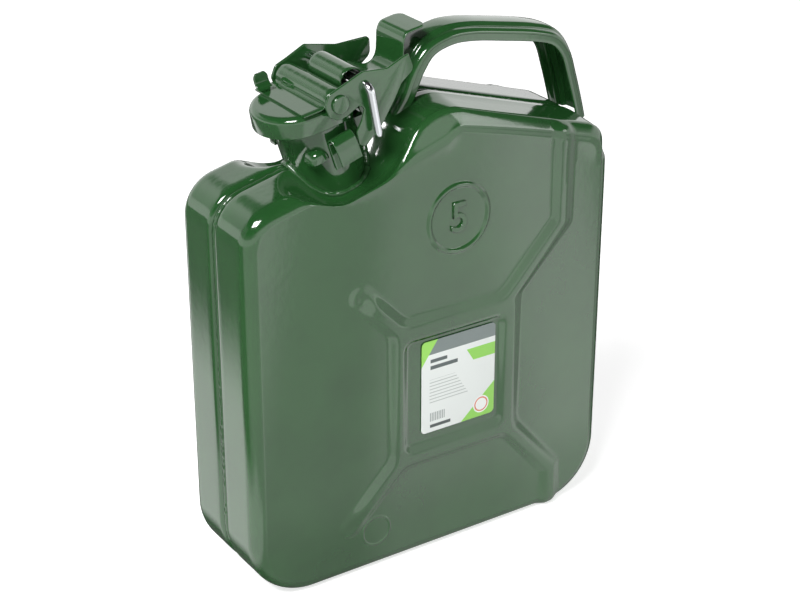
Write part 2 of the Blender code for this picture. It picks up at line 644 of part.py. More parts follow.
def hinge_pin(group):
    return tilted(cylinder("hinge_pin", HINGE_PIN_R, -HINGE_PIN_HALF, HINGE_PIN_HALF, HINGE_T, HINGE_H, group), CAP_TILT)


def catch(name, side, group):
    """Hooked catch on the neck's side: leg on the neck, bridge outwards and a lip that hangs down."""
    path = [(CATCH_IN, CATCH_FOOT)]
    for k in range(5):
        a = math.pi - math.pi / 2 * k / 4
        path.append((CATCH_IN + CATCH_R + CATCH_R * math.cos(a), CATCH_TOP - CATCH_R + CATCH_R * math.sin(a)))
    for k in range(5):
        a = math.pi / 2 - math.pi / 2 * k / 4
        path.append((CATCH_OUT - CATCH_R + CATCH_R * math.cos(a), CATCH_TOP - CATCH_R + CATCH_R * math.sin(a)))
    path.append((CATCH_OUT, CATCH_LIP))
    outline = strip(path, CATCH_SHEET / 2)
    bm = bmesh.new()
    low = [bm.verts.new((CATCH_T0, -side * p.x, p.y)) for p in outline]
    high = [bm.verts.new((CATCH_T1, -side * p.x, p.y)) for p in outline]
    bm.faces.new(low)
    bm.faces.new(high)
    for i in range(len(low)):
        k = (i + 1) % len(low)
        bm.faces.new((low[i], low[k], high[k], high[i]))
    return tilted(from_bmesh(name, bm, group))


def lever(group):
    cheek = round_corners([(AXLE.x + x, AXLE.z + z) for x, z in reversed(CHEEK)], [CHEEK_ROUND] * len(CHEEK), [1] * len(CHEEK))
    frame = prism("cam_lever", cheek, -CHEEK_IN, -CHEEK_OUT, group)
    combine(frame, prism("far_cheek", cheek, CHEEK_IN, CHEEK_OUT, group), "UNION")
    back = [(PIN.x + x, PIN.z + z) for x, z in WEB]
    combine(frame, prism("web", strip(back, SHEET / 2), ROLL_HALF, -ROLL_HALF, group), "UNION")
    cross = strip(back[-2:], SHEET * 0.6)
    reach = CHEEK_IN + CHEEK_T / 2
    combine(frame, prism("cross", cross, reach, -reach, group), "UNION")
    tab = strip([(PIN.x + x, PIN.z + z) for x, z in TAB], SHEET / 2)
    combine(frame, prism("tab", tab, TAB_HALF, -TAB_HALF, group), "UNION")
    roll = cylinder("roll", ROLL_R, -ROLL_HALF - GAP, ROLL_HALF + GAP, PIN.x, PIN.z, group)
    combine(frame, roll, "UNION")
    bore = cylinder("roll_bore", ROLL_R - SHEET, -ROLL_HALF - SHEET, ROLL_HALF + SHEET, PIN.x, PIN.z, group)
    combine(frame, bore, "DIFFERENCE")
    bm = bmesh.new()
    place = Matrix.Translation((PIN.x + TAB_HOLE_X, 0.0, PIN.z + TAB[-2][1]))
    bmesh.ops.create_cone(bm, cap_ends=True, segments=SMALL_STEPS, radius1=TAB_HOLE_R, radius2=TAB_HOLE_R, depth=SHEET * 6, matrix=place)
    combine(frame, from_bmesh("tab_hole", bm, group), "DIFFERENCE")
    wide = CHEEK_OUT * 2
    combine(frame, cylinder("pin_hole", PIN_R + PIN_CLEAR, -wide, wide, PIN.x, PIN.z, group), "DIFFERENCE")
    combine(frame, cylinder("axle_hole", RIVET_R + GAP, -wide, wide, AXLE.x, AXLE.z, group), "DIFFERENCE")
    return frame


def safety_pin(group):
    """Bent wire: straight through both cheeks, then down outside the near one."""
    curve = bpy.data.curves.new("safety_pin", "CURVE")
    curve.dimensions = "3D"
    curve.bevel_depth = PIN_R
    curve.bevel_resolution = 3
    curve.use_fill_caps = True
    foot = Vector((PIN_FOOT_X, PIN_LEG_Y, PIN_FOOT_Z))
    corner = Vector((PIN.x, PIN_LEG_Y, PIN.z))
    down = (foot - corner).normalized()
    points = [Vector((PIN.x, PIN_FAR_Y, PIN.z))]
    centre = corner + Vector((0.0, PIN_BEND, 0.0)) + down * PIN_BEND
    for k in range(7):
        a = math.pi / 2 * k / 6
        points.append(centre - down * (PIN_BEND * math.cos(a)) - Vector((0.0, PIN_BEND * math.sin(a), 0.0)))
    points.append(foot)
    spline = curve.splines.new("POLY")
    spline.points.add(len(points) - 1)
    for point, co in zip(spline.points, points):
        point.co = (*co, 1.0)
    carrier = bpy.data.objects.new("pin_curve", curve)
    group.objects.link(carrier)
    pin = mesh_of(carrier, group)
    pin.name = "safety_pin"
    return pin


def handle(group):
    """Pressed strap: a channel with its open side towards the hand."""
    count = len(HANDLE_BACK)
    inner = []
    for i in range(count):
        p = Vector(HANDLE_BACK[i])
        before = (p - Vector(HANDLE_BACK[i - 1])).normalized() if i else None
        after = (Vector(HANDLE_BACK[i + 1]) - p).normalized() if i + 1 < count else None
        along = (before + after).normalized() if before and after else (before or after)
        inner.append((p, Vector((along.y, -along.x))))
    def channel(name, sink, deep, half, edge, over):
        """Swept section: flat top at sink with rounded shoulders, straight sides down to deep."""
        line = list(inner)
        for end, beside in ((0, 1), (-1, -2)):
            p, n = inner[end]
            line[end] = (p + (p - inner[beside][0]).normalized() * over, n)
        section = [(-half, deep), (half, deep)]
        for k in range(4):
            a = math.pi / 2 * k / 3
            section.append((half - edge + edge * math.cos(a), sink + edge - edge * math.sin(a)))
        for k in range(4):
            a = math.pi / 2 * (1 + k / 3)
            section.append((-half + edge + edge * math.cos(a), sink + edge - edge * math.sin(a)))
        bm = bmesh.new()
        rows = [[bm.verts.new(((p + n * d).x, y, (p + n * d).y)) for y, d in section] for p, n in line]
        bm.faces.new(rows[0])
        bm.faces.new(rows[-1])
        for low, high in zip(rows, rows[1:]):
            for i in range(len(low)):
                k = (i + 1) % len(low)
                bm.faces.new((low[i], low[k], high[k], high[i]))
        return from_bmesh(name, bm, group)
    strap = channel("handle", 0.0, HANDLE_THICK, HANDLE_HALF, HANDLE_EDGE, 0.0)
    hollow = channel("handle_hollow", HANDLE_SHEET, HANDLE_THICK + HANDLE_SHEET, HANDLE_HALF - HANDLE_SHEET, HANDLE_EDGE - HANDLE_SHEET,
                     HANDLE_SHEET)
    combine(strap, prism("handle_cut", body_outline(-GAP), HANDLE_HALF * 2, -HANDLE_HALF * 2, group), "DIFFERENCE")
    return combine(strap, hollow, "DIFFERENCE")


def label(group):
    x0 = LABEL_X - LABEL_W / 2
    x1 = LABEL_X + LABEL_W / 2
    z0 = LABEL_Z - LABEL_H / 2
    z1 = LABEL_Z + LABEL_H / 2
    outline = round_corners([(x0, z0), (x1, z0), (x1, z1), (x0, z1)], [CORNER_R * 0.6] * 4, [4] * 4)
    floor = RIB_Y - RECESS_DEPTH + GAP
    return prism("label", outline, -floor, -floor - LABEL_T, group)


def breather(group):
    tube = drum("breather_tube", BREATHER_R, BREATHER_LOW, BREATHER_TOP, BREATHER_T, group, SMALL_STEPS)
    combine(tube, drum("breather_bore", BREATHER_BORE, BREATHER_LOW - GAP, BREATHER_TOP + GAP, BREATHER_T, group, SMALL_STEPS), "DIFFERENCE")
    return tilted(tube)


def axis_empty(name, at, group):
    empty = bpy.data.objects.new(name, None)
    empty.location = at
    group.objects.link(empty)
    bpy.context.view_layer.update()
    return empty


def hang(obj, parent):
    obj.parent = parent
    obj.matrix_parent_inverse = parent.matrix_world.inverted()


def finish(obj, paint):
    obj.data.materials.clear()
    obj.data.materials.append(paint)
    obj.data.shade_smooth()
    obj.data.set_sharp_from_angle(angle=SMOOTH)
    bpy.context.view_layer.update()


def main():
    clear_scene()
    group = collection("fuel_can")
    cutters = collection("cutters", True)
    near = half_shell("near_shell", True, group, cutters)
    far = mirror_across(half_shell("far_shell", False, group, cutters))
    parts = {
        near: (GREEN, 0.16, 0.0), far: (GREEN, 0.16, 0.0),
        seam_bead(group): (GREEN, 0.3, 0.0), neck_tube(group): (GREEN, 0.16, 0.0),
        neck_stop("near_stop", -1, group): (GREEN, 0.18, 0.0), neck_stop("far_stop", 1, group): (GREEN, 0.18, 0.0),
        breather(group): (GREEN, 0.3, 0.0),
        catch("near_catch", 1, group): (GREEN, 0.18, 0.0), catch("far_catch", -1, group): (GREEN, 0.18, 0.0),
        hinge_bracket(group): (GREEN, 0.2, 0.0), hinge_pin(group): (ZINC, 0.25, 1.0),
        handle(group): (GREEN, 0.18, 0.0), label(group): (PAPER, 0.45, 0.0),
    }
    lid = [lid_cap(group), lid_gasket(group), lid_plate(group), lid_knuckle(group),
           rivet("near_rivet", -1, group), rivet("far_rivet", 1, group)]
    frame = lever(group)
    pin = safety_pin(group)
    lid_axis = axis_empty("lid_axis", hinge_point(), group)
    lever_axis = axis_empty("lever_axis", AXLE, group)
    pin_axis = axis_empty("pin_axis", PIN, group)
    hang(lever_axis, lid_axis)
    hang(pin_axis, lever_axis)
    for obj in lid:
        parts[obj] = (RUBBER, 0.7, 0.0) if obj.name == "gasket" else (GREEN, 0.16, 0.0)
        hang(obj, lid_axis)
    parts[frame] = (GREEN, 0.16, 0.0)
    hang(frame, lever_axis)
    parts[pin] = (ZINC, 0.22, 1.0)
    hang(pin, pin_axis)
    for obj, (colour, rough, metal) in parts.items():
        finish(obj, material(obj.name + "_paint", colour, rough, metal))


main()
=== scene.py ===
# %% [markdown]
# # A five litre steel jerry can in green enamel
#
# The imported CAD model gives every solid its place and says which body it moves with. This lesson dresses
# it: the two pressed halves get their soft ribs and drawn edges, the sheet parts of the closure get their
# rolled rims, and each surface gets the finish of the real one.

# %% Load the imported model
import math

import bpy
import numpy as np
from mathutils import Matrix, Vector


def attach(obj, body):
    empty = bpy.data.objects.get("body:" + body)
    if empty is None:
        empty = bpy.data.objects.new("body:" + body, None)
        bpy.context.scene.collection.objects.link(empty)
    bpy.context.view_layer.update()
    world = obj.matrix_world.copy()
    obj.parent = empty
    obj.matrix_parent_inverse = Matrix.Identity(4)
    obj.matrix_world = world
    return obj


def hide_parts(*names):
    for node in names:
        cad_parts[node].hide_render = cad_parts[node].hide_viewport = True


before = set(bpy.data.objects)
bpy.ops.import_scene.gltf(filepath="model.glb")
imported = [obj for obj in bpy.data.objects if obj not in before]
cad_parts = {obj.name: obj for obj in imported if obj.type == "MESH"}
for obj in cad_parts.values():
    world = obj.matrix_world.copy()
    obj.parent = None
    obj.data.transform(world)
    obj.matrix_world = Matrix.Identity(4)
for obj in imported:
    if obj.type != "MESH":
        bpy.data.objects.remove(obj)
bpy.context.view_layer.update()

# %% [markdown]
# ## Camera
#
# The photograph is taken from the front left corner and from well above, so the verticals lean together
# towards the floor. A long lens from about 1.2 m gives that. The camera could be aimed with a constraint,
# but writing its three axes into its matrix keeps it free of other objects.

# %% Place the camera
MM = 0.001
FOCAL_PX = 1916.05
FRAME_PX = 800
SENSOR_MM = 36.0
AZIMUTH = 0.58364
PITCH = 0.45194
ROLL = 0.00134
DISTANCE = 1.19878
TARGET = Vector((-0.0012266, 0.0, 0.1614313))


def aim_camera():
    """Camera matrix from its azimuth from +Y, its downward pitch and its roll."""
    level = Vector((math.cos(AZIMUTH), -math.sin(AZIMUTH), 0.0))
    ahead = Vector((math.sin(AZIMUTH), math.cos(AZIMUTH), 0.0))
    forward = ahead * math.cos(PITCH) - Vector((0.0, 0.0, math.sin(PITCH)))
    rise = level.cross(forward)
    right = math.cos(ROLL) * level + math.sin(ROLL) * rise
    up = -math.sin(ROLL) * level + math.cos(ROLL) * rise
    place = TARGET - forward * DISTANCE
    return Matrix((
        (right.x, up.x, -forward.x, place.x),
        (right.y, up.y, -forward.y, place.y),
        (right.z, up.z, -forward.z, place.z),
        (0.0, 0.0, 0.0, 1.0),
    ))


lens = bpy.data.cameras.new("camera")
lens.sensor_width = SENSOR_MM
lens.lens = FOCAL_PX / FRAME_PX * SENSOR_MM
lens.clip_start = 0.01
camera = bpy.data.objects.new("camera", lens)
bpy.context.scene.collection.objects.link(camera)
camera.matrix_world = aim_camera()
bpy.context.scene.camera = camera
bpy.context.scene.view_settings.view_transform = "Standard"
print("lens:", round(lens.lens, 1), "mm")

# %% [markdown]
# ## Node helpers
#
# A material here is a short list of nodes. One function adds a node with its settings and its links, and
# one turns a hex colour, as a colour card gives it, into the linear numbers that the shader needs.


# %% Colours and nodes
def hex_colour(text):
    """sRGB hex to linear: each channel c is c/12.92 below 0.04045, else ((c + 0.055) / 1.055) ** 2.4."""
    parts = [int(text[i:i + 2], 16) / 255 for i in (1, 3, 5)]
    return tuple(c / 12.92 if c <= 0.04045 else ((c + 0.055) / 1.055) ** 2.4 for c in parts) + (1.0,)


def add_node(tree, kind, settings=None, inputs=None):
    """Adds one node; an input's value is a plain value, or a socket to link from."""
    node = tree.nodes.new(kind)
    for key, value in (settings or {}).items():
        setattr(node, key, value)
    for key, value in (inputs or {}).items():
        if isinstance(value, bpy.types.NodeSocket):
            tree.links.new(value, node.inputs[key])
        else:
            node.inputs[key].default_value = value
    return node


def new_material(name):
    """An empty node material and its tree."""
    made = bpy.data.materials.new(name)
    made.use_nodes = True
    made.node_tree.nodes.clear()
    return made, made.node_tree


def close_material(tree, shader):
    """Links the finished shader to the material's output."""
    add_node(tree, "ShaderNodeOutputMaterial", inputs={"Surface": shader.outputs[0]})


# %% [markdown]
# ## Green enamel
#
# The can is sprayed with stoving enamel and baked. Such a paint is a green layer under a clear, very
# glossy skin: the colour comes from below, the sharp reflections from the skin. The skin is never quite
# flat, so reflections wobble over a few millimetres, which painters call orange peel. The colour varies
# a little where the coat ran thicker or thinner. A coat layer over a diffuse one would do; one layer with
# a raised specular level looks the same on a smooth paint and is plainer.

# %% Make the enamel
PEEL_MM = 5.0
DUST_MM = 0.9
CLOUD_MM = 60.0
ENAMEL_DARK = "#1f4a22"
ENAMEL_LIGHT = "#265328"


def enamel(name, peel_depth=0.035, rough=0.09):
    """Clouds between two greens, dust in the roughness, and a low bump for the peel."""
    made, tree = new_material(name)
    place = add_node(tree, "ShaderNodeTexCoord").outputs["Object"]
    clouds, dust, peel = (
        add_node(tree, "ShaderNodeTexNoise", inputs={
            "Vector": place, "Scale": 1 / (size * MM), "Detail": detail}).outputs["Fac"]
        for size, detail in ((CLOUD_MM, 3.0), (DUST_MM, 2.0), (PEEL_MM, 1.0)))
    tint = add_node(tree, "ShaderNodeValToRGB", inputs={"Fac": clouds})
    for stop, at, colour in zip(tint.color_ramp.elements, (0.35, 0.65), (ENAMEL_DARK, ENAMEL_LIGHT)):
        stop.position = at
        stop.color = hex_colour(colour)
    dull = add_node(tree, "ShaderNodeMapRange", inputs={
        "Value": dust, "From Min": 0.3, "From Max": 0.75, "To Min": rough * 0.8, "To Max": rough * 1.4})
    wobble = add_node(tree, "ShaderNodeBump", inputs={
        "Strength": peel_depth, "Distance": 1.0 * MM, "Height": peel})
    shader = add_node(tree, "ShaderNodeBsdfPrincipled", inputs={
        "Base Color": tint.outputs["Color"], "Roughness": dull.outputs["Result"], "IOR": 1.6,
        "Specular IOR Level": 0.75, "Normal": wobble.outputs["Normal"]})
    close_material(tree, shader)
    return made


ENAMEL = enamel("stoved_green_enamel")
WELD = enamel("enamel_over_weld", peel_depth=0.25, rough=0.2)

# %% [markdown]
# ## Zinc and rubber
#
# The safety pin is bent steel wire with a bright zinc plating: a metal whose gloss changes over a very
# fine grain, given here at 0.35 mm so that it still shows. The gasket is moulded nitrile rubber, matt and
# nearly black, with the grain of its mould. Both grains could be pictures, but noise needs no seam.

# %% Make zinc and rubber
GRAIN_MM = 0.35


def zinc_plating():
    """Bright metal; a fine noise moves its roughness between 0.10 and 0.30."""
    made, tree = new_material("zinc_plated_wire")
    place = add_node(tree, "ShaderNodeTexCoord").outputs["Object"]
    grain = add_node(tree, "ShaderNodeTexNoise", inputs={
        "Vector": place, "Scale": 1 / (GRAIN_MM * MM), "Detail": 2.0})
    dull = add_node(tree, "ShaderNodeMapRange", inputs={
        "Value": grain.outputs["Fac"], "To Min": 0.10, "To Max": 0.30})
    shader = add_node(tree, "ShaderNodeBsdfPrincipled", inputs={
        "Base Color": hex_colour("#d9dcdf"), "Metallic": 1.0, "Roughness": dull.outputs["Result"]})
    close_material(tree, shader)
    return made


def nitrile_rubber():
    """Matt black with a low bump from the mould's grain."""
    made, tree = new_material("moulded_nitrile_rubber")
    place = add_node(tree, "ShaderNodeTexCoord").outputs["Object"]
    grain = add_node(tree, "ShaderNodeTexNoise", inputs={
        "Vector": place, "Scale": 1 / (DUST_MM * MM), "Detail": 3.0})
    relief = add_node(tree, "ShaderNodeBump", inputs={
        "Strength": 0.2, "Distance": 0.2 * MM, "Height": grain.outputs["Fac"]})
    shader = add_node(tree, "ShaderNodeBsdfPrincipled", inputs={
        "Base Color": hex_colour("#1d1d1e"), "Roughness": 0.7, "Normal": relief.outputs["Normal"]})
    close_material(tree, shader)
    return made


ZINC = zinc_plating()

# %% Give the carried-over nodes their finishes
FINISHES = {"seam_bead": WELD, "hinge_pin": ZINC, "safety_pin": ZINC, "gasket": nitrile_rubber()}
for name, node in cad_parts.items():
    node.data.materials.clear()
    node.data.materials.append(FINISHES.get(name, ENAMEL))
print("carried over:", len(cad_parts), "nodes")

# %% [markdown]
# ## Surfaces from grids
#
# A pressed sheet is a surface with two directions, so each new piece is worked out as a grid of points in
# numpy and handed to the mesh in one go. Closing a grid joins its last row or column to its first, and a
# grid whose ends stay open gets a cap over its first and its last row.


# %% From a grid to a mesh
def grid_faces(rows, columns, close_rows=False, close_columns=False):
    """Quads between neighbouring points of a rows x columns grid, counted row by row."""
    r = np.arange(rows if close_rows else rows - 1)
    c = np.arange(columns if close_columns else columns - 1)
    r0, c0 = np.meshgrid(r, c, indexing="ij")
    r1 = (r0 + 1) % rows
    c1 = (c0 + 1) % columns
    corners = (r0 * columns + c0, r1 * columns + c0, r1 * columns + c1, r0 * columns + c1)
    return np.stack(corners, -1).reshape(-1, 4)


def enclosed(points, quads, extra):
    """Signed volume: a sixth of the sum of a . (b x c) over the triangles of every face."""
    fans = [quads[:, [0, 1, 2]], quads[:, [0, 2, 3]]]
    fans += [np.stack([np.full(len(f) - 2, f[0]), f[1:-1], f[2:]], 1) for f in extra]
    a, b, c = (points[np.concatenate(fans)[:, k]] for k in range(3))
    return (a * np.cross(b, c)).sum() / 6


def mesh_piece(name, points, quads, extra=(), finish=None, sharp_degrees=None):
    """Mesh object from an (n, 3) array, an (m, 4) array of quads and a list of other faces. All faces turn
    over together where the volume comes out negative, so that they point outwards."""
    if enclosed(points, quads, extra) < 0:
        quads = quads[:, ::-1]
        extra = [f[::-1] for f in extra]
    mesh = bpy.data.meshes.new(name)
    sides = [4] * len(quads) + [len(f) for f in extra]
    corners = np.concatenate([quads.ravel(), *extra])
    mesh.vertices.add(len(points))
    mesh.vertices.foreach_set("co", np.ascontiguousarray(points, np.float32).ravel())
    mesh.loops.add(len(corners))
    mesh.loops.foreach_set("vertex_index", corners.astype(np.int32))
    starts = np.concatenate([[0], np.cumsum(sides)[:-1]])
    mesh.polygons.add(len(sides))
    mesh.polygons.foreach_set("loop_start", starts.astype(np.int32))
    mesh.polygons.foreach_set("loop_total", np.asarray(sides, np.int32))
    mesh.polygons.foreach_set("use_smooth", np.ones(len(sides), bool))
    mesh.update(calc_edges=True)
    mesh.validate()
    if sharp_degrees:
        mesh.set_sharp_from_angle(angle=math.radians(sharp_degrees))
    piece = bpy.data.objects.new(name, mesh)
    bpy.context.scene.collection.objects.link(piece)
    piece.data.materials.append(finish or ENAMEL)
    return piece


def sweep_piece(name, grid, finish=None, sharp_degrees=None, ring=False):
    """Mesh object of a (rows, columns, 3) grid whose columns close round the section. The first and the last
    row get a cap each or, for a ring, join each other."""
    rows, columns = grid.shape[:2]
    section = np.arange(columns)
    caps = [] if ring else [section, (rows - 1) * columns + section[::-1]]
    quads = grid_faces(rows, columns, close_rows=ring, close_columns=True)
    return mesh_piece(name, grid.reshape(-1, 3), quads, caps, finish, sharp_degrees)


def dress(piece, body, *nodes, slot=None):
    """A visual piece that stands for CAD nodes, hides them and moves with their body. The slot is not used.
    """
    if nodes:
        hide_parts(*nodes)
    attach(piece, body)
    print(piece.name, "on", body + ":", len(piece.data.vertices), "points")


# %% [markdown]
# ## The pressed halves
#
# Each half is deep-drawn from one sheet. Its outline is a polygon with rounded corners; a profile runs
# from the seam over the flat side and the drawn edge on to the big face, where an X of soft ribs stiffens
# the sheet. One way is to model the polygon and bevel it, but the bevel can't give the slightly tight line
# where the edge meets the face. So the whole half is one grid: one direction follows the outline, the
# other one the profile.

# %% Outline of the can
CORNERS = np.array([
    (-131.5, 0.0), (131.5, 0.0), (131.5, 263.5), (10.0, 300.5), (-80.0, 270.0), (-131.5, 257.5)]) * MM
CORNER_R = np.array([42.0, 42.0, 22.0, 32.0, 60.0, 26.0]) * MM
ARC_POINTS = [44, 44, 30, 26, 16, 30]
SIDE_POINTS = [60, 76, 46, 26, 12, 76]
R_LEAST = 1.5 * MM


def outline_frame():
    """For every corner: how it moves per unit of inset, its two directions, its bisector, half its angle, and
    whether it turns outwards or inwards."""
    following = np.roll(CORNERS, -1, 0) - CORNERS
    previous = np.roll(CORNERS, 1, 0) - CORNERS
    out = following / np.linalg.norm(following, axis=1)[:, None]
    back = previous / np.linalg.norm(previous, axis=1)[:, None]
    n_out = np.stack([-out[:, 1], out[:, 0]], 1)
    n_in = np.stack([back[:, 1], -back[:, 0]], 1)
    miter = (n_out + n_in) / (1 + np.sum(n_out * n_in, 1))[:, None]
    turn = out[:, 0] * back[:, 1] - out[:, 1] * back[:, 0]
    bisector = (out + back) / np.linalg.norm(out + back, axis=1)[:, None]
    half = np.arccos(np.clip(np.sum(out * back, 1), -1, 1)) / 2
    return miter, out, back, bisector, half, np.sign(turn)


def outline_at(inset):
    """Outline points for an array of insets, (len(inset), points, 2): each corner is centre(inset) plus
    radius(inset) times a fixed direction, and straight runs are spaced evenly between corners."""
    inset = np.atleast_1d(np.asarray(inset, float))
    miter, out, back, bisector, half, sign = outline_frame()
    arcs = []
    for i in range(len(CORNERS)):
        bow = np.maximum(CORNER_R[i] - inset * sign[i], R_LEAST)
        corner = CORNERS[i][None] + inset[:, None] * miter[i][None]
        centre = corner + bisector[i][None] * (bow / math.sin(half[i]))[:, None]
        first = back[i] / math.tan(half[i]) - bisector[i] / math.sin(half[i])
        last = out[i] / math.tan(half[i]) - bisector[i] / math.sin(half[i])
        a0 = math.atan2(first[1], first[0])
        sweep = (math.atan2(last[1], last[0]) - a0 + math.pi) % (2 * math.pi) - math.pi
        a = a0 + sweep * np.linspace(0, 1, ARC_POINTS[i])
        arcs.append(centre[:, None] + bow[:, None, None] * np.stack([np.cos(a), np.sin(a)], -1)[None])
    rows = []
    for i, arc in enumerate(arcs):
        rows.append(arc)
        after = arcs[(i + 1) % len(arcs)][:, :1]
        t = (np.arange(1, SIDE_POINTS[i] + 1) / (SIDE_POINTS[i] + 1))[None, :, None]
        rows.append(arc[:, -1:] * (1 - t) + after * t)
    return np.concatenate(rows, 1)


RIM = outline_at(0.0)[0]
print("outline:", len(RIM), "points,", np.ptp(RIM, 0).round(4), "m")

# %% Distances and soft steps
BLEND_R = 4.0 * MM
LEAN_STEP = 0.5 * MM


def soft_step(x):
    """0 below 0, 1 above 1, and 3x^2 - 2x^3 between."""
    x = np.clip(x, 0, 1)
    return x * x * (3 - 2 * x)


def box_distance(p, low, high, radius):
    """Signed distance to a rectangle with rounded corners, negative inside."""
    centre = (low + high) / 2
    size = (high - low) / 2 - radius
    q = np.abs(p - centre) - size
    return np.linalg.norm(np.maximum(q, 0), axis=-1) + np.minimum(q.max(-1), 0) - radius


def path_distance(p, path):
    """Distance to a run of straight pieces."""
    best = np.full(p.shape[:-1], np.inf)
    for a, b in zip(path, path[1:]):
        along = np.clip(np.sum((p - a) * (b - a), -1) / np.sum((b - a) ** 2), 0, 1)
        best = np.minimum(best, np.linalg.norm(p - a - along[..., None] * (b - a), axis=-1))
    return best


def smooth_min(a, b, k):
    """Lower of two heights with a fillet, size k: min(a, b) - h^2 k / 4 with h = max(k - |a - b|, 0) / k."""
    h = np.maximum(k - np.abs(a - b), 0) / k
    return np.minimum(a, b) - h * h * k / 4


def lean(distance, p):
    """The distance, and before it how far it grows downwards, -1 to 1, by a difference over a short step."""
    here = distance(p)
    return (here - distance(p + np.array([0, LEAN_STEP]))) / LEAN_STEP, here


# %% Relief of the big face
FACE_Y = 39.6 * MM
RISE = 2.3 * MM
FLANK_SOFT = 10.0 * MM
FLANK_STEEP = 5.0 * MM
ARM_HALF = 5.4 * MM
ARM_FADE = 10.0 * MM
ARM_SINK = 0.8
ARMS = [np.array(a) * MM for a in (
    [(52.0, 164.0), (93.0, 208.0), (93.0, 276.0)],
    [(-24.0, 160.0), (-55.0, 192.0)],
    [(-24.0, 76.0), (-64.0, 36.0)],
    [(52.0, 76.0), (91.0, 31.0), (92.0, -8.0)],
)]
FRAME_LOW = np.array([-32.7, 68.0]) * MM
FRAME_HIGH = np.array([60.5, 168.0]) * MM
FRAME_R = 8.0 * MM
DISH_LOW = np.array([-24.0, 78.5]) * MM
DISH_HIGH = np.array([48.5, 154.5]) * MM
DISH_R = 5.6 * MM
DISH_DEPTH = 2.3 * MM
DISH_SOFT = 8.5 * MM
DISH_STEEP = 4.2 * MM


def rib_distance(p):
    """Distance to the outline of the frame and its four arms, joined with fillets."""
    reach = box_distance(p, FRAME_LOW, FRAME_HIGH, FRAME_R)
    for arm in ARMS:
        reach = smooth_min(reach, path_distance(p, arm) - ARM_HALF, BLEND_R)
    return reach


def dish_distance(p):
    """Distance to the outline of the dish that holds the label."""
    return box_distance(p, DISH_LOW, DISH_HIGH, DISH_R)


def face_relief(p):
    """Height over the plain face at (x, z): ribs and frame less the dish. Flanks that face down are narrow
    and steep, which shows as short dark marks on the real can, and those that face up are wide and soft. The
    two arms on the left sink away at their ends."""
    slope, reach = lean(rib_distance, p)
    flank = (FLANK_SOFT + FLANK_STEEP) / 2 - slope * (FLANK_SOFT - FLANK_STEEP) / 2
    ridge = RISE * soft_step(0.5 - reach / flank)
    for arm in ARMS[1:3]:
        ridge = ridge * (1 - ARM_SINK * np.exp(-((p - arm[-1]) ** 2).sum(-1) / ARM_FADE ** 2))
    slope, depth = lean(dish_distance, p)
    flank = (DISH_SOFT + DISH_STEEP) / 2 + slope * (DISH_SOFT - DISH_STEEP) / 2
    return ridge - DISH_DEPTH * soft_step(0.5 - depth / flank)


# %% Profile from the seam to the face
LIP_Y = 2.3 * MM
LIP_R = 3.6 * MM
LIP_ROOT = 7.5 * MM
SIDE_ROW = 10
# Each draw is the wide arc's radius and angle, the straight run after it and the radius of the tight arc.
SIDE_DRAW = (10.0 * MM, math.radians(76.0), 0.4 * MM, 3.2 * MM)
TOP_DRAW = (14.0 * MM, math.radians(5.0), 23.0 * MM, 6.0 * MM)
# The rows of the straight run lie close together at its end, or the shading would turn over its whole length.
RUN = np.array([0.4, 0.75, 0.92, 1.0])


def edge_profile(radius, angle, straight, tight_r):
    """Inset, y and turn of the outward normal along the profile: groove wall, lip arc, flat side, wide drawn
    arc up to the angle, a straight run at that angle, then a tight arc into the face."""
    lip = np.linspace(0, math.pi / 2, 9)
    wide = np.linspace(0, angle, 26)
    tight = np.linspace(angle, math.pi / 2, 10)[1:]
    arc_in, arc_y = radius * (1 - math.cos(angle)), radius * math.sin(angle)
    run_in, run_y = straight * math.sin(angle), straight * math.cos(angle)
    start_y = FACE_Y - arc_y - run_y - tight_r * (1 - math.sin(angle))
    side = np.linspace(LIP_Y + LIP_R, start_y, 8)[1:-1]
    inset = np.concatenate([
        [LIP_ROOT], LIP_R * (1 - np.sin(lip)), side * 0, radius * (1 - np.cos(wide)), arc_in + RUN * run_in,
        arc_in + run_in + tight_r * (math.cos(angle) - np.cos(tight))])
    y = np.concatenate([
        [LIP_Y], LIP_Y + LIP_R * (1 - np.cos(lip)), side, start_y + radius * np.sin(wide),
        start_y + arc_y + RUN * run_y, start_y + arc_y + run_y + tight_r * (np.sin(tight) - math.sin(angle))])
    turn = np.concatenate([[-math.pi / 2], lip - math.pi / 2, side * 0, wide, RUN * 0 + angle, tight])
    return inset, y, turn


# %% Shoulder pressed in beside the neck
NECK_AT = np.array([-64.0, 298.0]) * MM
NECK_TILT = math.radians(18.0)
NECK_R = 23.6 * MM
LEDGE_H = -44.5 * MM
LEDGE_BLEND = 9.0 * MM
RISE_BLEND = 14.0 * MM
SHOULDER_LOW = 0.2
# The ledge climbs with a slope, from a start in T or |Y|: to the front, the rear, the seam and the big face.
FRONT_FROM, FRONT_CLIMB = -23.0 * MM, 1.5
REAR_LEDGE_FROM, REAR_CLIMB = 24.0 * MM, 0.9
SEAM_FROM, SEAM_CLIMB = 15.0 * MM, 1.8
FACE_FROM, FACE_CLIMB, FACE_BLEND = 33.0 * MM, 0.5, 6.0 * MM


def to_tilted(x, z, tilt):
    """(T, H) of a point in XZ: T runs rearwards and up, H along an axis that is tilted at the neck."""
    dx, dz = x - NECK_AT[0], z - NECK_AT[1]
    c, s = math.cos(tilt), math.sin(tilt)
    return dx * c + dz * s, -dx * s + dz * c


def from_tilted(t, y, h, tilt=NECK_TILT):
    """Points in the world from (T, Y, H) of the tilted frame: x is T cos - H sin, and z is T sin + H cos."""
    t, y, h = np.broadcast_arrays(t, y, h)
    c, s = math.cos(tilt), math.sin(tilt)
    return np.stack([NECK_AT[0] + t * c - h * s, y, NECK_AT[1] + t * s + h * c], -1)


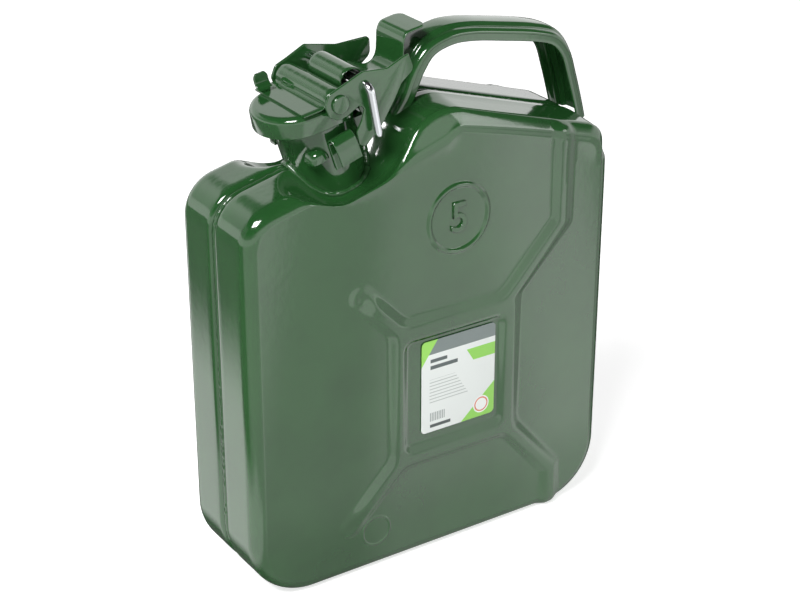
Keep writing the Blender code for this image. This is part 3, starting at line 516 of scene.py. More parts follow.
def soft_rise(x, k=RISE_BLEND):
    """0 far below 0 and x far above it, with a fillet of size k between."""
    return -smooth_min(-x, 0 * x, k)


def shoulder_floor(t, y):
    """Height H of the ledge at (T, |y|): low beside the neck, climbing to the front and over the seam, gently
    to the rear, and again towards the big face."""
    front = FRONT_CLIMB * soft_rise(FRONT_FROM - t)
    rear = REAR_CLIMB * soft_rise(t - REAR_LEDGE_FROM)
    seam = SEAM_CLIMB * soft_rise(SEAM_FROM - y)
    face = FACE_CLIMB * soft_rise(y - FACE_FROM, FACE_BLEND)
    return LEDGE_H + front + rear + seam + face


def press_shoulder(p):
    """Lowers points beside the neck to that ledge, with a fillet where the two heights meet."""
    t, h = to_tilted(p[..., 0], p[..., 2], NECK_TILT)
    pressed = smooth_min(h, shoulder_floor(t, np.abs(p[..., 1])), LEDGE_BLEND)
    drop = np.where(p[..., 2] > SHOULDER_LOW, h - pressed, 0)
    moved = p.copy()
    moved[..., 0] += drop * math.sin(NECK_TILT)
    moved[..., 2] -= drop * math.cos(NECK_TILT)
    return moved


# %% Build the two halves
FACE_STEPS = 100
DISH_IN = 6.0 * MM
DISH_POWER = 6
# Where the near half has its wide top, over z and over x, and how far further in the face begins there.
TOP_FROM, TOP_OVER = 240.0 * MM, 22.0 * MM
REAR_FROM, REAR_OVER = -84.0 * MM, 26.0 * MM
EDGE_X = np.array([-131.0, -82.0, -62.0, -44.0, -22.0, 2.0, 19.0, 38.0, 66.0, 88.0, 131.0]) * MM
EDGE_IN = np.array([2.8, 2.8, 6.5, 8.7, 10.2, 10.5, 5.6, 4.4, 3.2, 2.6, 2.6]) * MM
EDGE_EASE = 7
FULL_TURN = math.radians(60.0)
RIDGE_RISE = 0.55 * MM
RIDGE_AT = 2.2 * MM


def half_points(side):
    """Grid of one half: profile rows over the outline, then rows that run straight to the dish's floor. Along
    the top of the near half the profile is nearly flat, and the face starts lower, behind a slight ridge."""
    top = soft_step((RIM[:, 1] - TOP_FROM) / TOP_OVER) * soft_step((RIM[:, 0] - REAR_FROM) / REAR_OVER)
    top = top * (side < 0)
    draws = [edge_profile(*SIDE_DRAW), edge_profile(*TOP_DRAW)]
    inset, y, turn = (a[:, None] * (1 - top) + b[:, None] * top for a, b in zip(*draws))
    fade = soft_step(turn / FULL_TURN)
    side_in = draws[0][0]
    unit_in = (outline_at(MM)[0] - RIM) / MM
    extra = np.interp(RIM[:, 0], EDGE_X, EDGE_IN) * top
    extra = np.mean([np.roll(extra, shift) for shift in range(-EDGE_EASE, EDGE_EASE + 1)], axis=0)
    rims = outline_at(side_in) + unit_in[None] * (inset - side_in[:, None] + extra[None] * fade)[..., None]
    lift = face_relief(rims) * fade
    outward = -unit_in[None] / np.linalg.norm(unit_in, axis=1)[None, :, None]
    flat = rims + outward * (lift * np.cos(turn))[..., None]
    depth = y + lift * np.sin(turn)
    last = rims[-1]
    centre = (DISH_LOW + DISH_HIGH) / 2
    size = (DISH_HIGH - DISH_LOW) / 2 - DISH_IN
    ray = (last - centre) / np.linalg.norm(last - centre, axis=1, keepdims=True)
    end = centre + ray / ((np.abs(ray / size) ** DISH_POWER).sum(1) ** (1 / DISH_POWER))[:, None]
    t = (np.arange(1, FACE_STEPS + 1) / FACE_STEPS)[:, None, None]
    inner = last[None] * (1 - t) + end[None] * t
    from_edge = np.linalg.norm(inner - last[None], axis=-1) / RIDGE_AT
    inner_y = FACE_Y + face_relief(inner) + RIDGE_RISE * top * from_edge * np.exp(1 - from_edge)
    grid = np.concatenate([
        np.stack([flat[..., 0], depth, flat[..., 1]], -1),
        np.stack([inner[..., 0], inner_y, inner[..., 1]], -1)])
    return press_shoulder(grid) * np.array([1, side, 1])


dress(sweep_piece("near_pressed_half", half_points(-1)), "can", "near_shell")
dress(sweep_piece("far_pressed_half", half_points(1)), "can", "far_shell")

# %% [markdown]
# ## Embossed ring and numeral
#
# The capacity is pressed into the sheet from behind: a round bead with the number inside it. Sculpting the
# big face finely enough for both would cost many thousands of faces. So the bead is a low profile carried
# round a circle, its feet sunk in the face, and the number is Blender's own font, thickened and bevelled,
# then made a mesh.

# %% Press the rings and the numeral
RING_AT = np.array([14.7, 228.0]) * MM
SMALL_RING_AT = np.array([-45.0, 28.0]) * MM
NUMERAL_SIZE = 27.0 * MM
NUMERAL_RISE = 1.2 * MM
FOOT = 1.0 * MM
FOOT_AT = 0.9
SINK = 0.05 * MM
NUMERAL_THIN = 0.2 * MM
NUMERAL_BEVEL = 0.5 * MM
NUMERAL_OUT = 0.35


def bead_ring(name, centre, radius, half, rise):
    """Annular bead: across it the height follows rise times cos^2, down to a foot below the face."""
    v = np.linspace(-1, 1, 15)
    height = np.concatenate([rise * np.cos(v * math.pi / 2) ** 2, [-FOOT, -FOOT]])
    v = np.concatenate([v, [FOOT_AT, -FOOT_AT]])
    a = np.linspace(0, 2 * math.pi, 96, endpoint=False)[:, None]
    r = radius + half * v[None]
    y = np.broadcast_to(-(FACE_Y + height - SINK), (len(a), len(v)))
    points = np.stack([centre[0] + r * np.cos(a), y, centre[1] + r * np.sin(a)], -1)
    return sweep_piece(name, points, sharp_degrees=70, ring=True)


def raised_numeral(text, centre, size, rise):
    """Text curve, extruded and bevelled, turned to face -Y and made a mesh."""
    curve = bpy.data.curves.new("numeral", "FONT")
    curve.body = text
    curve.size = size
    curve.align_x = "CENTER"
    curve.align_y = "CENTER"
    curve.offset = -NUMERAL_THIN
    curve.extrude = rise * 0.5
    curve.bevel_depth = NUMERAL_BEVEL
    curve.bevel_resolution = 3
    maker = bpy.data.objects.new("numeral_curve", curve)
    bpy.context.scene.collection.objects.link(maker)
    bpy.context.view_layer.update()
    mesh = bpy.data.meshes.new_from_object(maker)
    bpy.data.objects.remove(maker)
    place = Matrix.Translation((centre[0], -FACE_Y - rise * NUMERAL_OUT, centre[1]))
    mesh.transform(place @ Matrix.Rotation(math.pi / 2, 4, "X"))
    piece = bpy.data.objects.new("embossed_numeral", mesh)
    bpy.context.scene.collection.objects.link(piece)
    mesh.materials.clear()
    mesh.materials.append(ENAMEL)
    return piece


dress(bead_ring("capacity_ring", RING_AT, 21.4 * MM, 2.6 * MM, 1.3 * MM), "can", slot="near_shell")
dress(bead_ring("small_ring", SMALL_RING_AT, 10.0 * MM, 1.5 * MM, 0.5 * MM), "can", slot="near_shell")
dress(raised_numeral("5", RING_AT, NUMERAL_SIZE, NUMERAL_RISE), "can", slot="near_shell")

# %% [markdown]
# ## Weld seam
#
# The halves meet in a groove, and the joint in it is welded. A weld is laid in ripples and small lumps. A
# bump in the material would not show in the outline, so the bead is a real one: a circle carried along the
# can's outline, its size and place wavering by a few sums of sines.


# %% Lay the seam weld
WELD_INSET = 3.4 * MM
WELD_STEP = 1.1 * MM
WELD_OVAL = 1.3
# The weld's radius, its place across the seam and its depth: middle and swing in mm, and the wavelength.
WELD_WAVER = [(1.7, 0.14, 11 * MM), (0.7, 0.18, 17 * MM), (0.0, 0.16, 7 * MM)]


def unit(v):
    """Vectors of length one."""
    return v / np.maximum(np.linalg.norm(v, axis=-1, keepdims=True), 1e-12)


def run_length(path):
    """Length along a path up to each of its points."""
    return np.concatenate([[0], np.cumsum(np.linalg.norm(np.diff(path, axis=0), axis=1))])


def waver(run, seed, step):
    """Sum of five sines over the length, of wavelengths about step, with fixed phases from the seed."""
    k = np.arange(1, 6)[:, None]
    phase = np.sin(k * 12.9898 + seed * 78.233) * 43.0
    return np.sin(run[None] / step * (0.6 + 0.37 * k) * 2 * math.pi + phase).sum(0) / 3.2


def seam_weld():
    """An oval of wavering size, a little deeper than wide, carried along the evenly stepped outline."""
    path = outline_at(WELD_INSET)[0]
    path = path[np.linalg.norm(path - np.roll(path, 1, 0), axis=1) > 0.01 * MM]
    run = run_length(path)
    even = np.arange(0, run[-1], WELD_STEP)
    path = np.stack([np.interp(even, run, path[:, k]) for k in range(2)], 1)
    along = unit(np.roll(path, -1, 0) - np.roll(path, 1, 0))
    inward = np.stack([-along[:, 1], along[:, 0]], 1)
    size, off, dip = (
        ((middle + swing * waver(even, seed, wave)) * MM)[:, None]
        for seed, (middle, swing, wave) in enumerate(WELD_WAVER, 1))
    a = np.linspace(0, 2 * math.pi, 10, endpoint=False)
    across = size * np.cos(a) + off
    deep = size * WELD_OVAL * np.sin(a) + dip
    points = np.stack([path[:, :1] + inward[:, :1] * deep, across, path[:, 1:] + inward[:, 1:] * deep], -1)
    return sweep_piece("seam_weld", points, finish=WELD, ring=True)


dress(seam_weld(), "can", "seam_bead")

# %% [markdown]
# ## Neck
#
# The neck is a drawn tube welded into the pressed shoulder. On each side it carries a hooked catch for the
# lever and, ahead of it, a half-round stop. They could be set upright and turned afterwards, but a kept
# object is never turned, so all of them are worked out in the neck's own tilted frame.

# %% Turn the neck
NECK_TOP = 8.0 * MM
NECK_LOW = -54.0 * MM
NECK_MID = -20.0 * MM
NECK_WALL = 1.2 * MM
MOUTH_R = 1.4 * MM
MOUTH_IN = 0.3 * MM
MOUTH_FROM_OUT, MOUTH_FROM_IN = 2.6 * MM, 2.5 * MM


def neck_tube():
    """Profile up the outside, over a rolled mouth and down the inside, turned about the neck's axis."""
    roll = np.linspace(-math.pi / 2, math.pi, 12)
    mouth_r = NECK_R - MOUTH_IN + MOUTH_R * np.cos(roll)
    mouth_h = NECK_TOP + MOUTH_R * np.sin(roll)
    r = np.concatenate([[NECK_R] * 3, mouth_r, [NECK_R - NECK_WALL] * 2])
    h = np.concatenate([
        [NECK_LOW, NECK_MID, NECK_TOP - MOUTH_FROM_OUT], mouth_h, [NECK_TOP - MOUTH_FROM_IN, NECK_LOW]])
    a = np.linspace(0, 2 * math.pi, 96, endpoint=False)[:, None]
    points = from_tilted(r * np.cos(a), r * np.sin(a), h)
    return sweep_piece("drawn_neck", points, sharp_degrees=60, ring=True)


dress(neck_tube(), "can", "neck_tube")

# %% Weld it in
OUTLINE_H = -21.3 * MM
LUMP_AT = math.radians(42)
LUMP_OVER = 0.22
FILLET_OUT = 0.5 * MM
# The fillet's radius in mm, how far it wavers and over what length; the lumps on one side waver faster.
FILLET_MM, FILLET_WAVER, FILLET_WAVE = 2.0, 0.25, 12 * MM
LUMP_WAVER, LUMP_WAVE = 0.5, 3 * MM


def neck_weld():
    """Fillet round the neck's foot: a circle of wavering size that follows the pressed ledge's height."""
    a = np.linspace(0, 2 * math.pi, 240, endpoint=False)
    t, y = NECK_R * np.cos(a), NECK_R * np.sin(a)
    inset, width, _ = edge_profile(*TOP_DRAW)
    drop = np.interp(np.abs(y), width[SIDE_ROW:], inset[SIDE_ROW:])
    ground = smooth_min(OUTLINE_H - drop, shoulder_floor(t, np.abs(y)), LEDGE_BLEND)
    lumps = sum(np.exp(-((a - turn + LUMP_AT) / LUMP_OVER) ** 2) for turn in (0, 2 * math.pi))
    run = a * NECK_R
    size = FILLET_MM + FILLET_WAVER * waver(run, 4, FILLET_WAVE)
    size = (size + LUMP_WAVER * lumps * waver(run, 5, LUMP_WAVE)) * MM
    b = np.linspace(0, 2 * math.pi, 12, endpoint=False)
    r = NECK_R + FILLET_OUT + size[:, None] * np.cos(b)
    h = ground[:, None] + size[:, None] * np.sin(b)
    points = from_tilted(r * np.cos(a)[:, None], r * np.sin(a)[:, None], h)
    return sweep_piece("neck_weld", points, finish=WELD, ring=True)


dress(neck_weld(), "can", slot="neck_tube")

# %% [markdown]
# ## Plates and strips
#
# The closure is cut and folded from 1.3 mm sheet. Its cut edges are tumbled round and then painted, and
# each edge shows as a thin bright line. A Boolean box would leave knife edges. So a plate here is an
# outline carried along a small rounded rim, in at one side, out over a half circle, in at the other, and a
# folded strip is a section with round edges carried along its side view.


# %% Plates and strips
CORNER_SHARE = 0.49


def rounded_polygon(corners, radius, steps=7):
    """Closed outline with an arc at every corner; the radius gives way where a side is short."""
    corners = np.asarray(corners, float)
    following = np.roll(corners, -1, 0) - corners
    previous = np.roll(corners, 1, 0) - corners
    u, v = unit(following), unit(previous)
    half = np.arccos(np.clip((u * v).sum(1), -1, 1)) / 2
    room = np.minimum(np.linalg.norm(following, axis=1), np.linalg.norm(previous, axis=1)) * CORNER_SHARE
    bow = np.minimum(np.broadcast_to(radius, half.shape), room * np.tan(half))
    centre = corners + unit(u + v) * (bow / np.sin(half))[:, None]
    first = corners + v * (bow / np.tan(half))[:, None] - centre
    last = corners + u * (bow / np.tan(half))[:, None] - centre
    a0 = np.arctan2(first[:, 1], first[:, 0])
    sweep = (np.arctan2(last[:, 1], last[:, 0]) - a0 + math.pi) % (2 * math.pi) - math.pi
    a = a0[:, None] + sweep[:, None] * np.linspace(0, 1, steps)
    return (centre[:, None] + bow[:, None, None] * np.stack([np.cos(a), np.sin(a)], -1)).reshape(-1, 2)


def plate(name, outline, y0, y1, rim, finish=None):
    """Closed plate between y0 < y1 over an XZ outline: rings p - n r (1 - sin a) at y0 + r (1 - cos a), and
    the same mirrored at y1. The normal n lies across the chord of a point's two neighbours, and the outline
    is first turned counter-clockwise, which the sign of its area shows."""
    after = np.roll(outline, -1, 0)
    if (outline[:, 0] * after[:, 1] - after[:, 0] * outline[:, 1]).sum() < 0:
        outline = outline[::-1]
    chord = unit(np.roll(outline, -1, 0) - np.roll(outline, 1, 0))
    n = np.stack([chord[:, 1], -chord[:, 0]], 1)
    a = np.linspace(0, math.pi / 2, 4)
    inset = np.concatenate([rim * (1 - np.sin(a)), rim * (1 - np.sin(a[::-1]))])
    y = np.concatenate([y0 + rim * (1 - np.cos(a)), y1 - rim * (1 - np.cos(a[::-1]))])
    flat = outline[None] - n[None] * inset[:, None, None]
    points = np.stack([flat[..., 0], np.broadcast_to(y[:, None], flat.shape[:2]), flat[..., 1]], -1)
    return sweep_piece(name, points, finish, sharp_degrees=50)


def smooth_path(points, count):
    """Catmull-Rom curve through the points, spaced evenly by length."""
    p = np.asarray(points, float)
    p = np.concatenate([[2 * p[0] - p[1]], p, [2 * p[-1] - p[-2]]])
    t = np.linspace(0, 1, 24, endpoint=False)[None, :, None]
    a, b, c, d = (p[i:len(p) - 3 + i][:, None] for i in range(4))
    cubic = (2 * a - 5 * b + 4 * c - d) * t ** 2 + (3 * b - a - 3 * c + d) * t ** 3
    fine = 0.5 * (2 * b + (c - a) * t + cubic)
    fine = np.concatenate([fine.reshape(-1, p.shape[1]), p[-2:-1]])
    run = run_length(fine)
    at = np.linspace(0, run[-1], count)
    return np.stack([np.interp(at, run, fine[:, k]) for k in range(p.shape[1])], 1)


def strip_grid(path, half, thick):
    """Sheet strip carried along a plane path: two path coordinates and the width coordinate. Its section is a
    flat with half-round edges, half wide to each side, one value or one per path point."""
    tangent = unit(np.gradient(path, axis=0))
    normal = np.stack([-tangent[:, 1], tangent[:, 0]], 1)
    across = np.linspace(-1, 1, 17)
    bend = np.linspace(-math.pi / 2, math.pi / 2, 7)[1:-1]
    r = thick / 2
    v = np.concatenate([across, np.ones(5), across[::-1], -np.ones(5)])
    out = np.concatenate([across * 0, np.cos(bend) * r, across * 0, -np.cos(bend) * r])
    up = np.concatenate([across * 0 - r, np.sin(bend) * r, across * 0 + r, np.sin(-bend) * r])
    width = (np.broadcast_to(half, len(path))[:, None] - r) * v[None] + out[None]
    return path[:, :1] + normal[:, :1] * up[None], width, path[:, 1:] + normal[:, 1:] * up[None]


def strip(name, path, half, thick, middle=0.0):
    """Sheet strip along an XZ path to both sides of Y = middle, one value or one per path point."""
    x, width, z = strip_grid(path, half, thick)
    points = np.stack([x, np.reshape(middle, (-1, 1)) + width, z], -1)
    return sweep_piece(name, points, sharp_degrees=55)


# %% Bend the catches
CATCH_HALF = 7.2 * MM
CATCH_MID = 1.2 * MM
CATCH_SHEET = 1.2 * MM
CATCH_PATH = np.array([
    (24.4, -27.0), (24.4, -20.0), (24.4, -12.0), (25.6, -7.4), (28.6, -5.6), (31.6, -7.6), (33.0, -12.0),
    (33.6, -17.0), (33.9, -21.5)]) * MM


def catch(name, side):
    """Leg up the neck, a round bend outwards and a lip that hangs down and out: its path lies in (|Y|, H)."""
    out, width, h = strip_grid(smooth_path(CATCH_PATH, 44), CATCH_HALF, CATCH_SHEET)
    return sweep_piece(name, from_tilted(CATCH_MID + width, side * out, h), sharp_degrees=55)


dress(catch("near_bent_catch", -1), "can", "near_catch")
dress(catch("far_bent_catch", 1), "can", "far_catch")

# %% Draw the stops
STOP_AT = np.array([-13.4, -17.0]) * MM
STOP_R = np.array([6.6, 7.0]) * MM
STOP_IN, STOP_FOOT, STOP_OUT = 17.0 * MM, 21.4 * MM, 4.6 * MM
STOP_POWER = 0.6


def stop(name, side):
    """Half dome on the neck: in the (T, H) plane it shrinks as a quarter circle while it stands out."""
    a = np.linspace(0, math.pi, 25)
    rim = np.linspace(0, math.pi / 2, 9)[:-1]
    scale = np.concatenate([[1.0], np.cos(rim) ** STOP_POWER])[:, None]
    out = np.concatenate([[STOP_IN], STOP_FOOT + STOP_OUT * np.sin(rim)])[:, None]
    t = STOP_AT[0] + STOP_R[0] * scale * np.cos(a)
    h = STOP_AT[1] + STOP_R[1] * scale * np.sin(a)
    return sweep_piece(name, from_tilted(t, side * out, h), sharp_degrees=50)


dress(stop("near_half_dome", -1), "can", "near_stop")
dress(stop("far_half_dome", 1), "can", "far_stop")

# %% [markdown]
# ## Handle
#
# The handle is one pressed strap, bent down at both ends and welded to the top. Its flanges give a smooth
# grip, and a raised band runs along its back. A bevelled curve would have the same section everywhere but
# no open underside, so the channel's whole section is carried along a smooth path.

# %% Sweep the handle
HANDLE_PATH = np.array([
    (-16.5, 290.6), (-8.3, 302.5), (-1.0, 318.0), (9.0, 330.0), (25.0, 335.4), (42.0, 335.2), (66.0, 331.0),
    (91.0, 325.8), (106.5, 320.0), (116.5, 308.5), (122.3, 292.5), (127.8, 274.0), (131.0, 262.0)]) * MM
HANDLE_HALF = 14.5 * MM
BAND_HALF = 9.5 * MM
BAND_UP = 2.0 * MM
BAND_EDGE = 2.4 * MM
CROWN = 0.9 * MM
CROWN_INSIDE = 0.6
FLANGE = 8.6 * MM
FLANGE_ROWS = np.array([0.5, 0.8, 1.0])
SHOULDER_R = 3.2 * MM
SHEET = 1.4 * MM


def handle_section():
    """Across (Y) and depth below the back, for the outside of a channel and then its inside: a crowned back
    with a raised band, round shoulders, straight flanges and their half-round ends."""
    flat = HANDLE_HALF - SHOULDER_R
    inner_r = SHOULDER_R - SHEET
    end = FLANGE - SHEET / 2
    turn = np.linspace(0, math.pi / 2, 7)[1:]
    roll = np.linspace(0, math.pi, 6)[1:-1]
    right_y = np.concatenate([
        flat + SHOULDER_R * np.sin(turn), np.full(3, HANDLE_HALF),
        HANDLE_HALF - SHEET / 2 * (1 - np.cos(roll)), np.full(3, HANDLE_HALF - SHEET),
        flat + inner_r * np.sin(turn[::-1])])
    right_d = np.concatenate([
        CROWN + SHOULDER_R * (1 - np.cos(turn)), FLANGE_ROWS * end,
        end + SHEET / 2 * np.sin(roll), FLANGE_ROWS[::-1] * end,
        CROWN + SHOULDER_R - inner_r * np.cos(turn[::-1])])
    back, under = np.linspace(-1, 1, 41), np.linspace(1, -1, 31)
    band, band_under = (
        BAND_UP * soft_step((BAND_HALF - np.abs(flat * v)) / BAND_EDGE) for v in (back, under))
    y = np.concatenate([flat * back, right_y, flat * under, -right_y[::-1]])
    hollow = CROWN + SHEET - CROWN * (1 - under ** 2) * CROWN_INSIDE - band_under
    return y, np.concatenate([CROWN * back ** 2 - band, right_d, hollow, right_d[::-1]])


def sweep_handle():
    """The section across every point of the path, its depth measured at right angles to the path."""
    path = smooth_path(HANDLE_PATH, 150)
    tangent = unit(np.gradient(path, axis=0))
    down = np.stack([tangent[:, 1], -tangent[:, 0]], 1)
    y, depth = handle_section()
    x = path[:, :1] + down[:, :1] * depth[None]
    z = path[:, 1:] + down[:, 1:] * depth[None]
    return sweep_piece("strap_handle", np.stack([x, np.broadcast_to(y, x.shape), z], -1), sharp_degrees=60)


dress(sweep_handle(), "can", "handle")

# %% [markdown]
# ## Lid
#
# The cap is a shallow drawn cup with two flats. Its rim runs over in a soft radius. On it sits the lid
# plate: a flat lip that can be gripped, with one corner turned up, and behind it a half tube bent over
# the lever's axle. A turned cup has no flats, so the cap is a stack of outlines instead.

# %% Draw the cap
CAP_TILT = math.radians(10.0)
CAP_AXIS = -4.5 * MM
CAP_R = 30.0 * MM
CAP_FLAT = 27.2 * MM
CAP_POWER = 14.0
CAP_TOP = 12.6 * MM
CAP_WALL = 1.0 * MM
CAP_EDGE = 4.2 * MM
CAP_INNER = 14.0 * MM
CAP_CROWN = 0.25 * MM


def cap_outline(inset):
    """Circle of the cap's radius cut by its two flats: 1 / (r^-p + f^-p)^(1/p) eases the corners between."""
    a = np.linspace(0, 2 * math.pi, 128, endpoint=False)
    limit = (CAP_FLAT - inset) / np.maximum(np.abs(np.sin(a)), 1e-6)
    reach = ((CAP_R - inset) ** -CAP_POWER + limit ** -CAP_POWER) ** (-1 / CAP_POWER)
    return CAP_AXIS + reach * np.cos(a), reach * np.sin(a)


def draw_cap():
    """Outlines at an inset and a height each: top, soft edge, skirt with a round rim, the inside back up."""
    a = np.linspace(0, math.pi / 2, 9)
    roll = np.linspace(0, math.pi, 6)[1:-1]
    r = CAP_WALL / 2
    inner_r = CAP_EDGE - CAP_WALL
    shoulder = CAP_TOP - CAP_EDGE
    inset = np.concatenate([
        [CAP_INNER, CAP_EDGE + 2 * MM], CAP_EDGE * (1 - np.sin(a)), [0.0], r - r * np.cos(roll), [CAP_WALL],
        CAP_WALL + inner_r * (1 - np.cos(a)), [CAP_INNER]])
    height = np.concatenate([
        [CAP_TOP + CAP_CROWN, CAP_TOP], CAP_TOP - CAP_EDGE * (1 - np.cos(a)), [r], r - r * np.sin(roll), [r],
        shoulder + inner_r * np.sin(a), [CAP_TOP - CAP_WALL]])
    t, y = cap_outline(inset[:, None])
    return sweep_piece("drawn_cap", from_tilted(t, y, height[:, None], CAP_TILT), sharp_degrees=60)


dress(draw_cap(), "lid", "lid_cap")

# %% Bend the lid plate
AXLE = np.array([-62.3, 312.7]) * MM
PIN = np.array([-45.6, 321.6]) * MM
PLATE_SHEET = 1.3 * MM
PLATE_MID = CAP_TOP + 0.3 * MM + PLATE_SHEET / 2
PLATE_FRONT = -18.0 * MM
PLATE_HALF = 27.9 * MM
ARCH_R = 8.2 * MM
ARCH_OPEN = 0.18
LIP_END = 2.2 * MM
EASE_END, EASE_UP = 0.9 * MM, 0.25 * MM


def lid_plate_path():
    """Side view of the plate in the cap's frame: flat lip, a small fillet, then an arc about the axle."""
    axle = np.array(to_tilted(*AXLE, CAP_TILT))
    reach = ARCH_R - PLATE_SHEET / 2
    low = math.asin((PLATE_MID - axle[1]) / reach)
    a = np.linspace(math.pi - low - ARCH_OPEN, low, 36)
    arc = axle + reach * np.stack([np.cos(a), np.sin(a)], 1)
    lip = np.stack([np.linspace(PLATE_FRONT, arc[0, 0] - LIP_END, 14), np.full(14, PLATE_MID)], 1)
    ease = [(arc[0, 0] - EASE_END, PLATE_MID + EASE_UP)]
    path = np.concatenate([lip, ease, arc])
    return from_tilted(path[:, 0], 0.0, path[:, 1], CAP_TILT)[:, [0, 2]]


dress(strip("lid_plate_and_arch", lid_plate_path(), PLATE_HALF, PLATE_SHEET), "lid", "lid_plate")

# %% Turn its far corner up
CORNER_R_UP = 5.2 * MM
CORNER_UP = math.radians(82)
CORNER_STEM = 4.6 * MM
CORNER_HALF = 4.8 * MM
CORNER_NARROW = 1.8 * MM
CORNER_AT = 4.9 * MM
CORNER_IN = 5.4 * MM
CORNER_LEAD = np.array([4.6, 1.6]) * MM


def upturned_tab():
    """Corner of the lip bent up at the far side: its path lies in (Y, H), its width along T, and the last
    steps narrow to a round end."""
    a = np.linspace(0, CORNER_UP, 14)
    stem = np.linspace(0, CORNER_STEM, 7)[1:]
    start = PLATE_HALF - CORNER_IN
    y = np.concatenate([start - CORNER_LEAD, start + CORNER_R_UP * np.sin(a)])
    h = np.concatenate([[0, 0], CORNER_R_UP * (1 - np.cos(a))])
    y = np.concatenate([y, y[-1] + stem * math.cos(CORNER_UP)])
    h = np.concatenate([h, h[-1] + stem * math.sin(CORNER_UP)]) + PLATE_MID
    ease = np.clip((np.arange(len(y)) - len(y) + 5) / 4, 0, 1)
    y, width, h = strip_grid(np.stack([y, h], 1), CORNER_HALF - CORNER_NARROW * ease ** 2, PLATE_SHEET)
    points = from_tilted(PLATE_FRONT + CORNER_AT + width, y, h, CAP_TILT)
    return sweep_piece("upturned_corner", points, sharp_degrees=55)


dress(upturned_tab(), "lid", slot="lid_plate")

# %% [markdown]
# ## Lever
#
# The lever is two cheeks joined by a back that is rolled over the pin and rises to a thumb tab. The
# cheeks hook down beside the catches on the neck. It is one folded blank, but two plates and a strip that
# meet inside each other's edges give the same look with no folding to work out.

# %% Cut the cheeks
CHEEK = np.array([
    (-6.9, 6.9), (0.5, 10.2), (15.0, 16.5), (31.6, 15.4), (41.8, 19.9), (46.5, 21.6), (50.3, 11.7),
    (41.9, 4.6), (36.9, -4.9), (27.1, -20.2), (16.4, -29.3), (12.6, -27.0), (11.0, -19.3), (14.7, -12.3),
    (16.6, -6.1), (13.4, -3.4), (5.0, -8.2), (-1.0, -9.8), (-6.9, -6.9), (-9.8, 0.0)]) * MM
CHEEK_R = np.array([
    4.0, 6.0, 3.0, 6.0, 4.0, 1.0, 4.0, 6.0, 8.0, 6.0, 2.0, 1.5, 3.0, 4.0, 2.0, 1.5, 3.0, 4.0, 4.0, 4.0]) * MM
FAR_REAR = np.array([(13.0, 16.5), (35.1, 12.5), (58.5, 13.6), (59.0, 2.0), (47.0, -8.0)]) * MM
FAR_REAR_R = np.array([3.0, 8.0, 3.0, 6.0, 8.0]) * MM
FAR_CHEEK = np.concatenate([CHEEK[:2], FAR_REAR, CHEEK[9:]])
FAR_CHEEK_R = np.concatenate([CHEEK_R[:2], FAR_REAR_R, CHEEK_R[9:]])
CHEEK_IN = 29.4 * MM
CHEEK_OUT = 31.0 * MM
CHEEK_RIM = 0.7 * MM

near_outline = AXLE + rounded_polygon(CHEEK, CHEEK_R)
far_outline = AXLE + rounded_polygon(FAR_CHEEK, FAR_CHEEK_R)
dress(plate("near_cheek", near_outline, -CHEEK_OUT, -CHEEK_IN, CHEEK_RIM), "lever", "cam_lever")
dress(plate("far_cheek", far_outline, CHEEK_IN, CHEEK_OUT, CHEEK_RIM), "lever", slot="cam_lever")

# %% Roll the back and the thumb tab
ROLL_R = 8.4 * MM
ROLL_AT = PIN + np.array([-1.4, -1.6]) * MM
ROLL_FROM, ROLL_TO = math.radians(-100), math.radians(-322)
ROLL_NEAR, ROLL_FAR = -19.7 * MM, 16.0 * MM
VALLEY = np.array([
    (6.6, 1.6), (9.6, -2.6), (16.0, -5.6), (26.0, -6.6), (33.0, -5.0), (36.3, 0.0), (37.0, 7.0), (37.3, 13.4),
    (39.4, 17.8), (44.0, 19.3), (53.0, 20.9)]) * MM
VALLEY_HALF = 29.2 * MM
VALLEY_FROM, VALLEY_OVER = 31.0 * MM, 7.0 * MM
TAB_HALF = 14.5 * MM
TAB_LENGTH, TAB_OVER = 52.0 * MM, 9.0 * MM
TAB_CORNER = 4.5 * MM
TAB_LEAST = 0.6 * MM


def lever_back():
    """Back of the lever in side view: over more than half a turn about the pin, down into a valley, then up
    the neck of the thumb tab and out along its flat."""
    a = np.linspace(ROLL_FROM, ROLL_TO, 40)
    turn = ROLL_AT + (ROLL_R - PLATE_SHEET / 2) * np.stack([np.cos(a), np.sin(a)], 1)
    return np.concatenate([turn, PIN + smooth_path(VALLEY, 90)])


def back_edges(path):
    """Half width and middle along the back: the roll leaves the pin's far end bare, the valley reaches from
    cheek to cheek, and the tab ends in two rounded corners."""
    run = run_length(path)
    left = run[-1] - run
    widen = soft_step((run - VALLEY_FROM) / VALLEY_OVER)
    taper = soft_step((TAB_LENGTH - left) / TAB_OVER)
    cut = np.clip(TAB_CORNER - left, 0, TAB_CORNER)
    corner = TAB_CORNER - np.sqrt(np.maximum(TAB_CORNER ** 2 - cut ** 2, TAB_LEAST ** 2))
    low = (ROLL_NEAR * (1 - widen) - VALLEY_HALF * widen) * (1 - taper) - TAB_HALF * taper + corner
    high = (ROLL_FAR * (1 - widen) + VALLEY_HALF * widen) * (1 - taper) + TAB_HALF * taper - corner
    return (high - low) / 2, (high + low) / 2


back_path = lever_back()
back_half, back_middle = back_edges(back_path)
dress(strip("rolled_back_and_tab", back_path, back_half, PLATE_SHEET, back_middle), "lever", slot="cam_lever")

# %% Head the rivets
HEAD_R = 5.6 * MM
HEAD_IN = 30.9 * MM
HEAD_OUT = 33.0 * MM
HEAD_RIM = 0.9 * MM

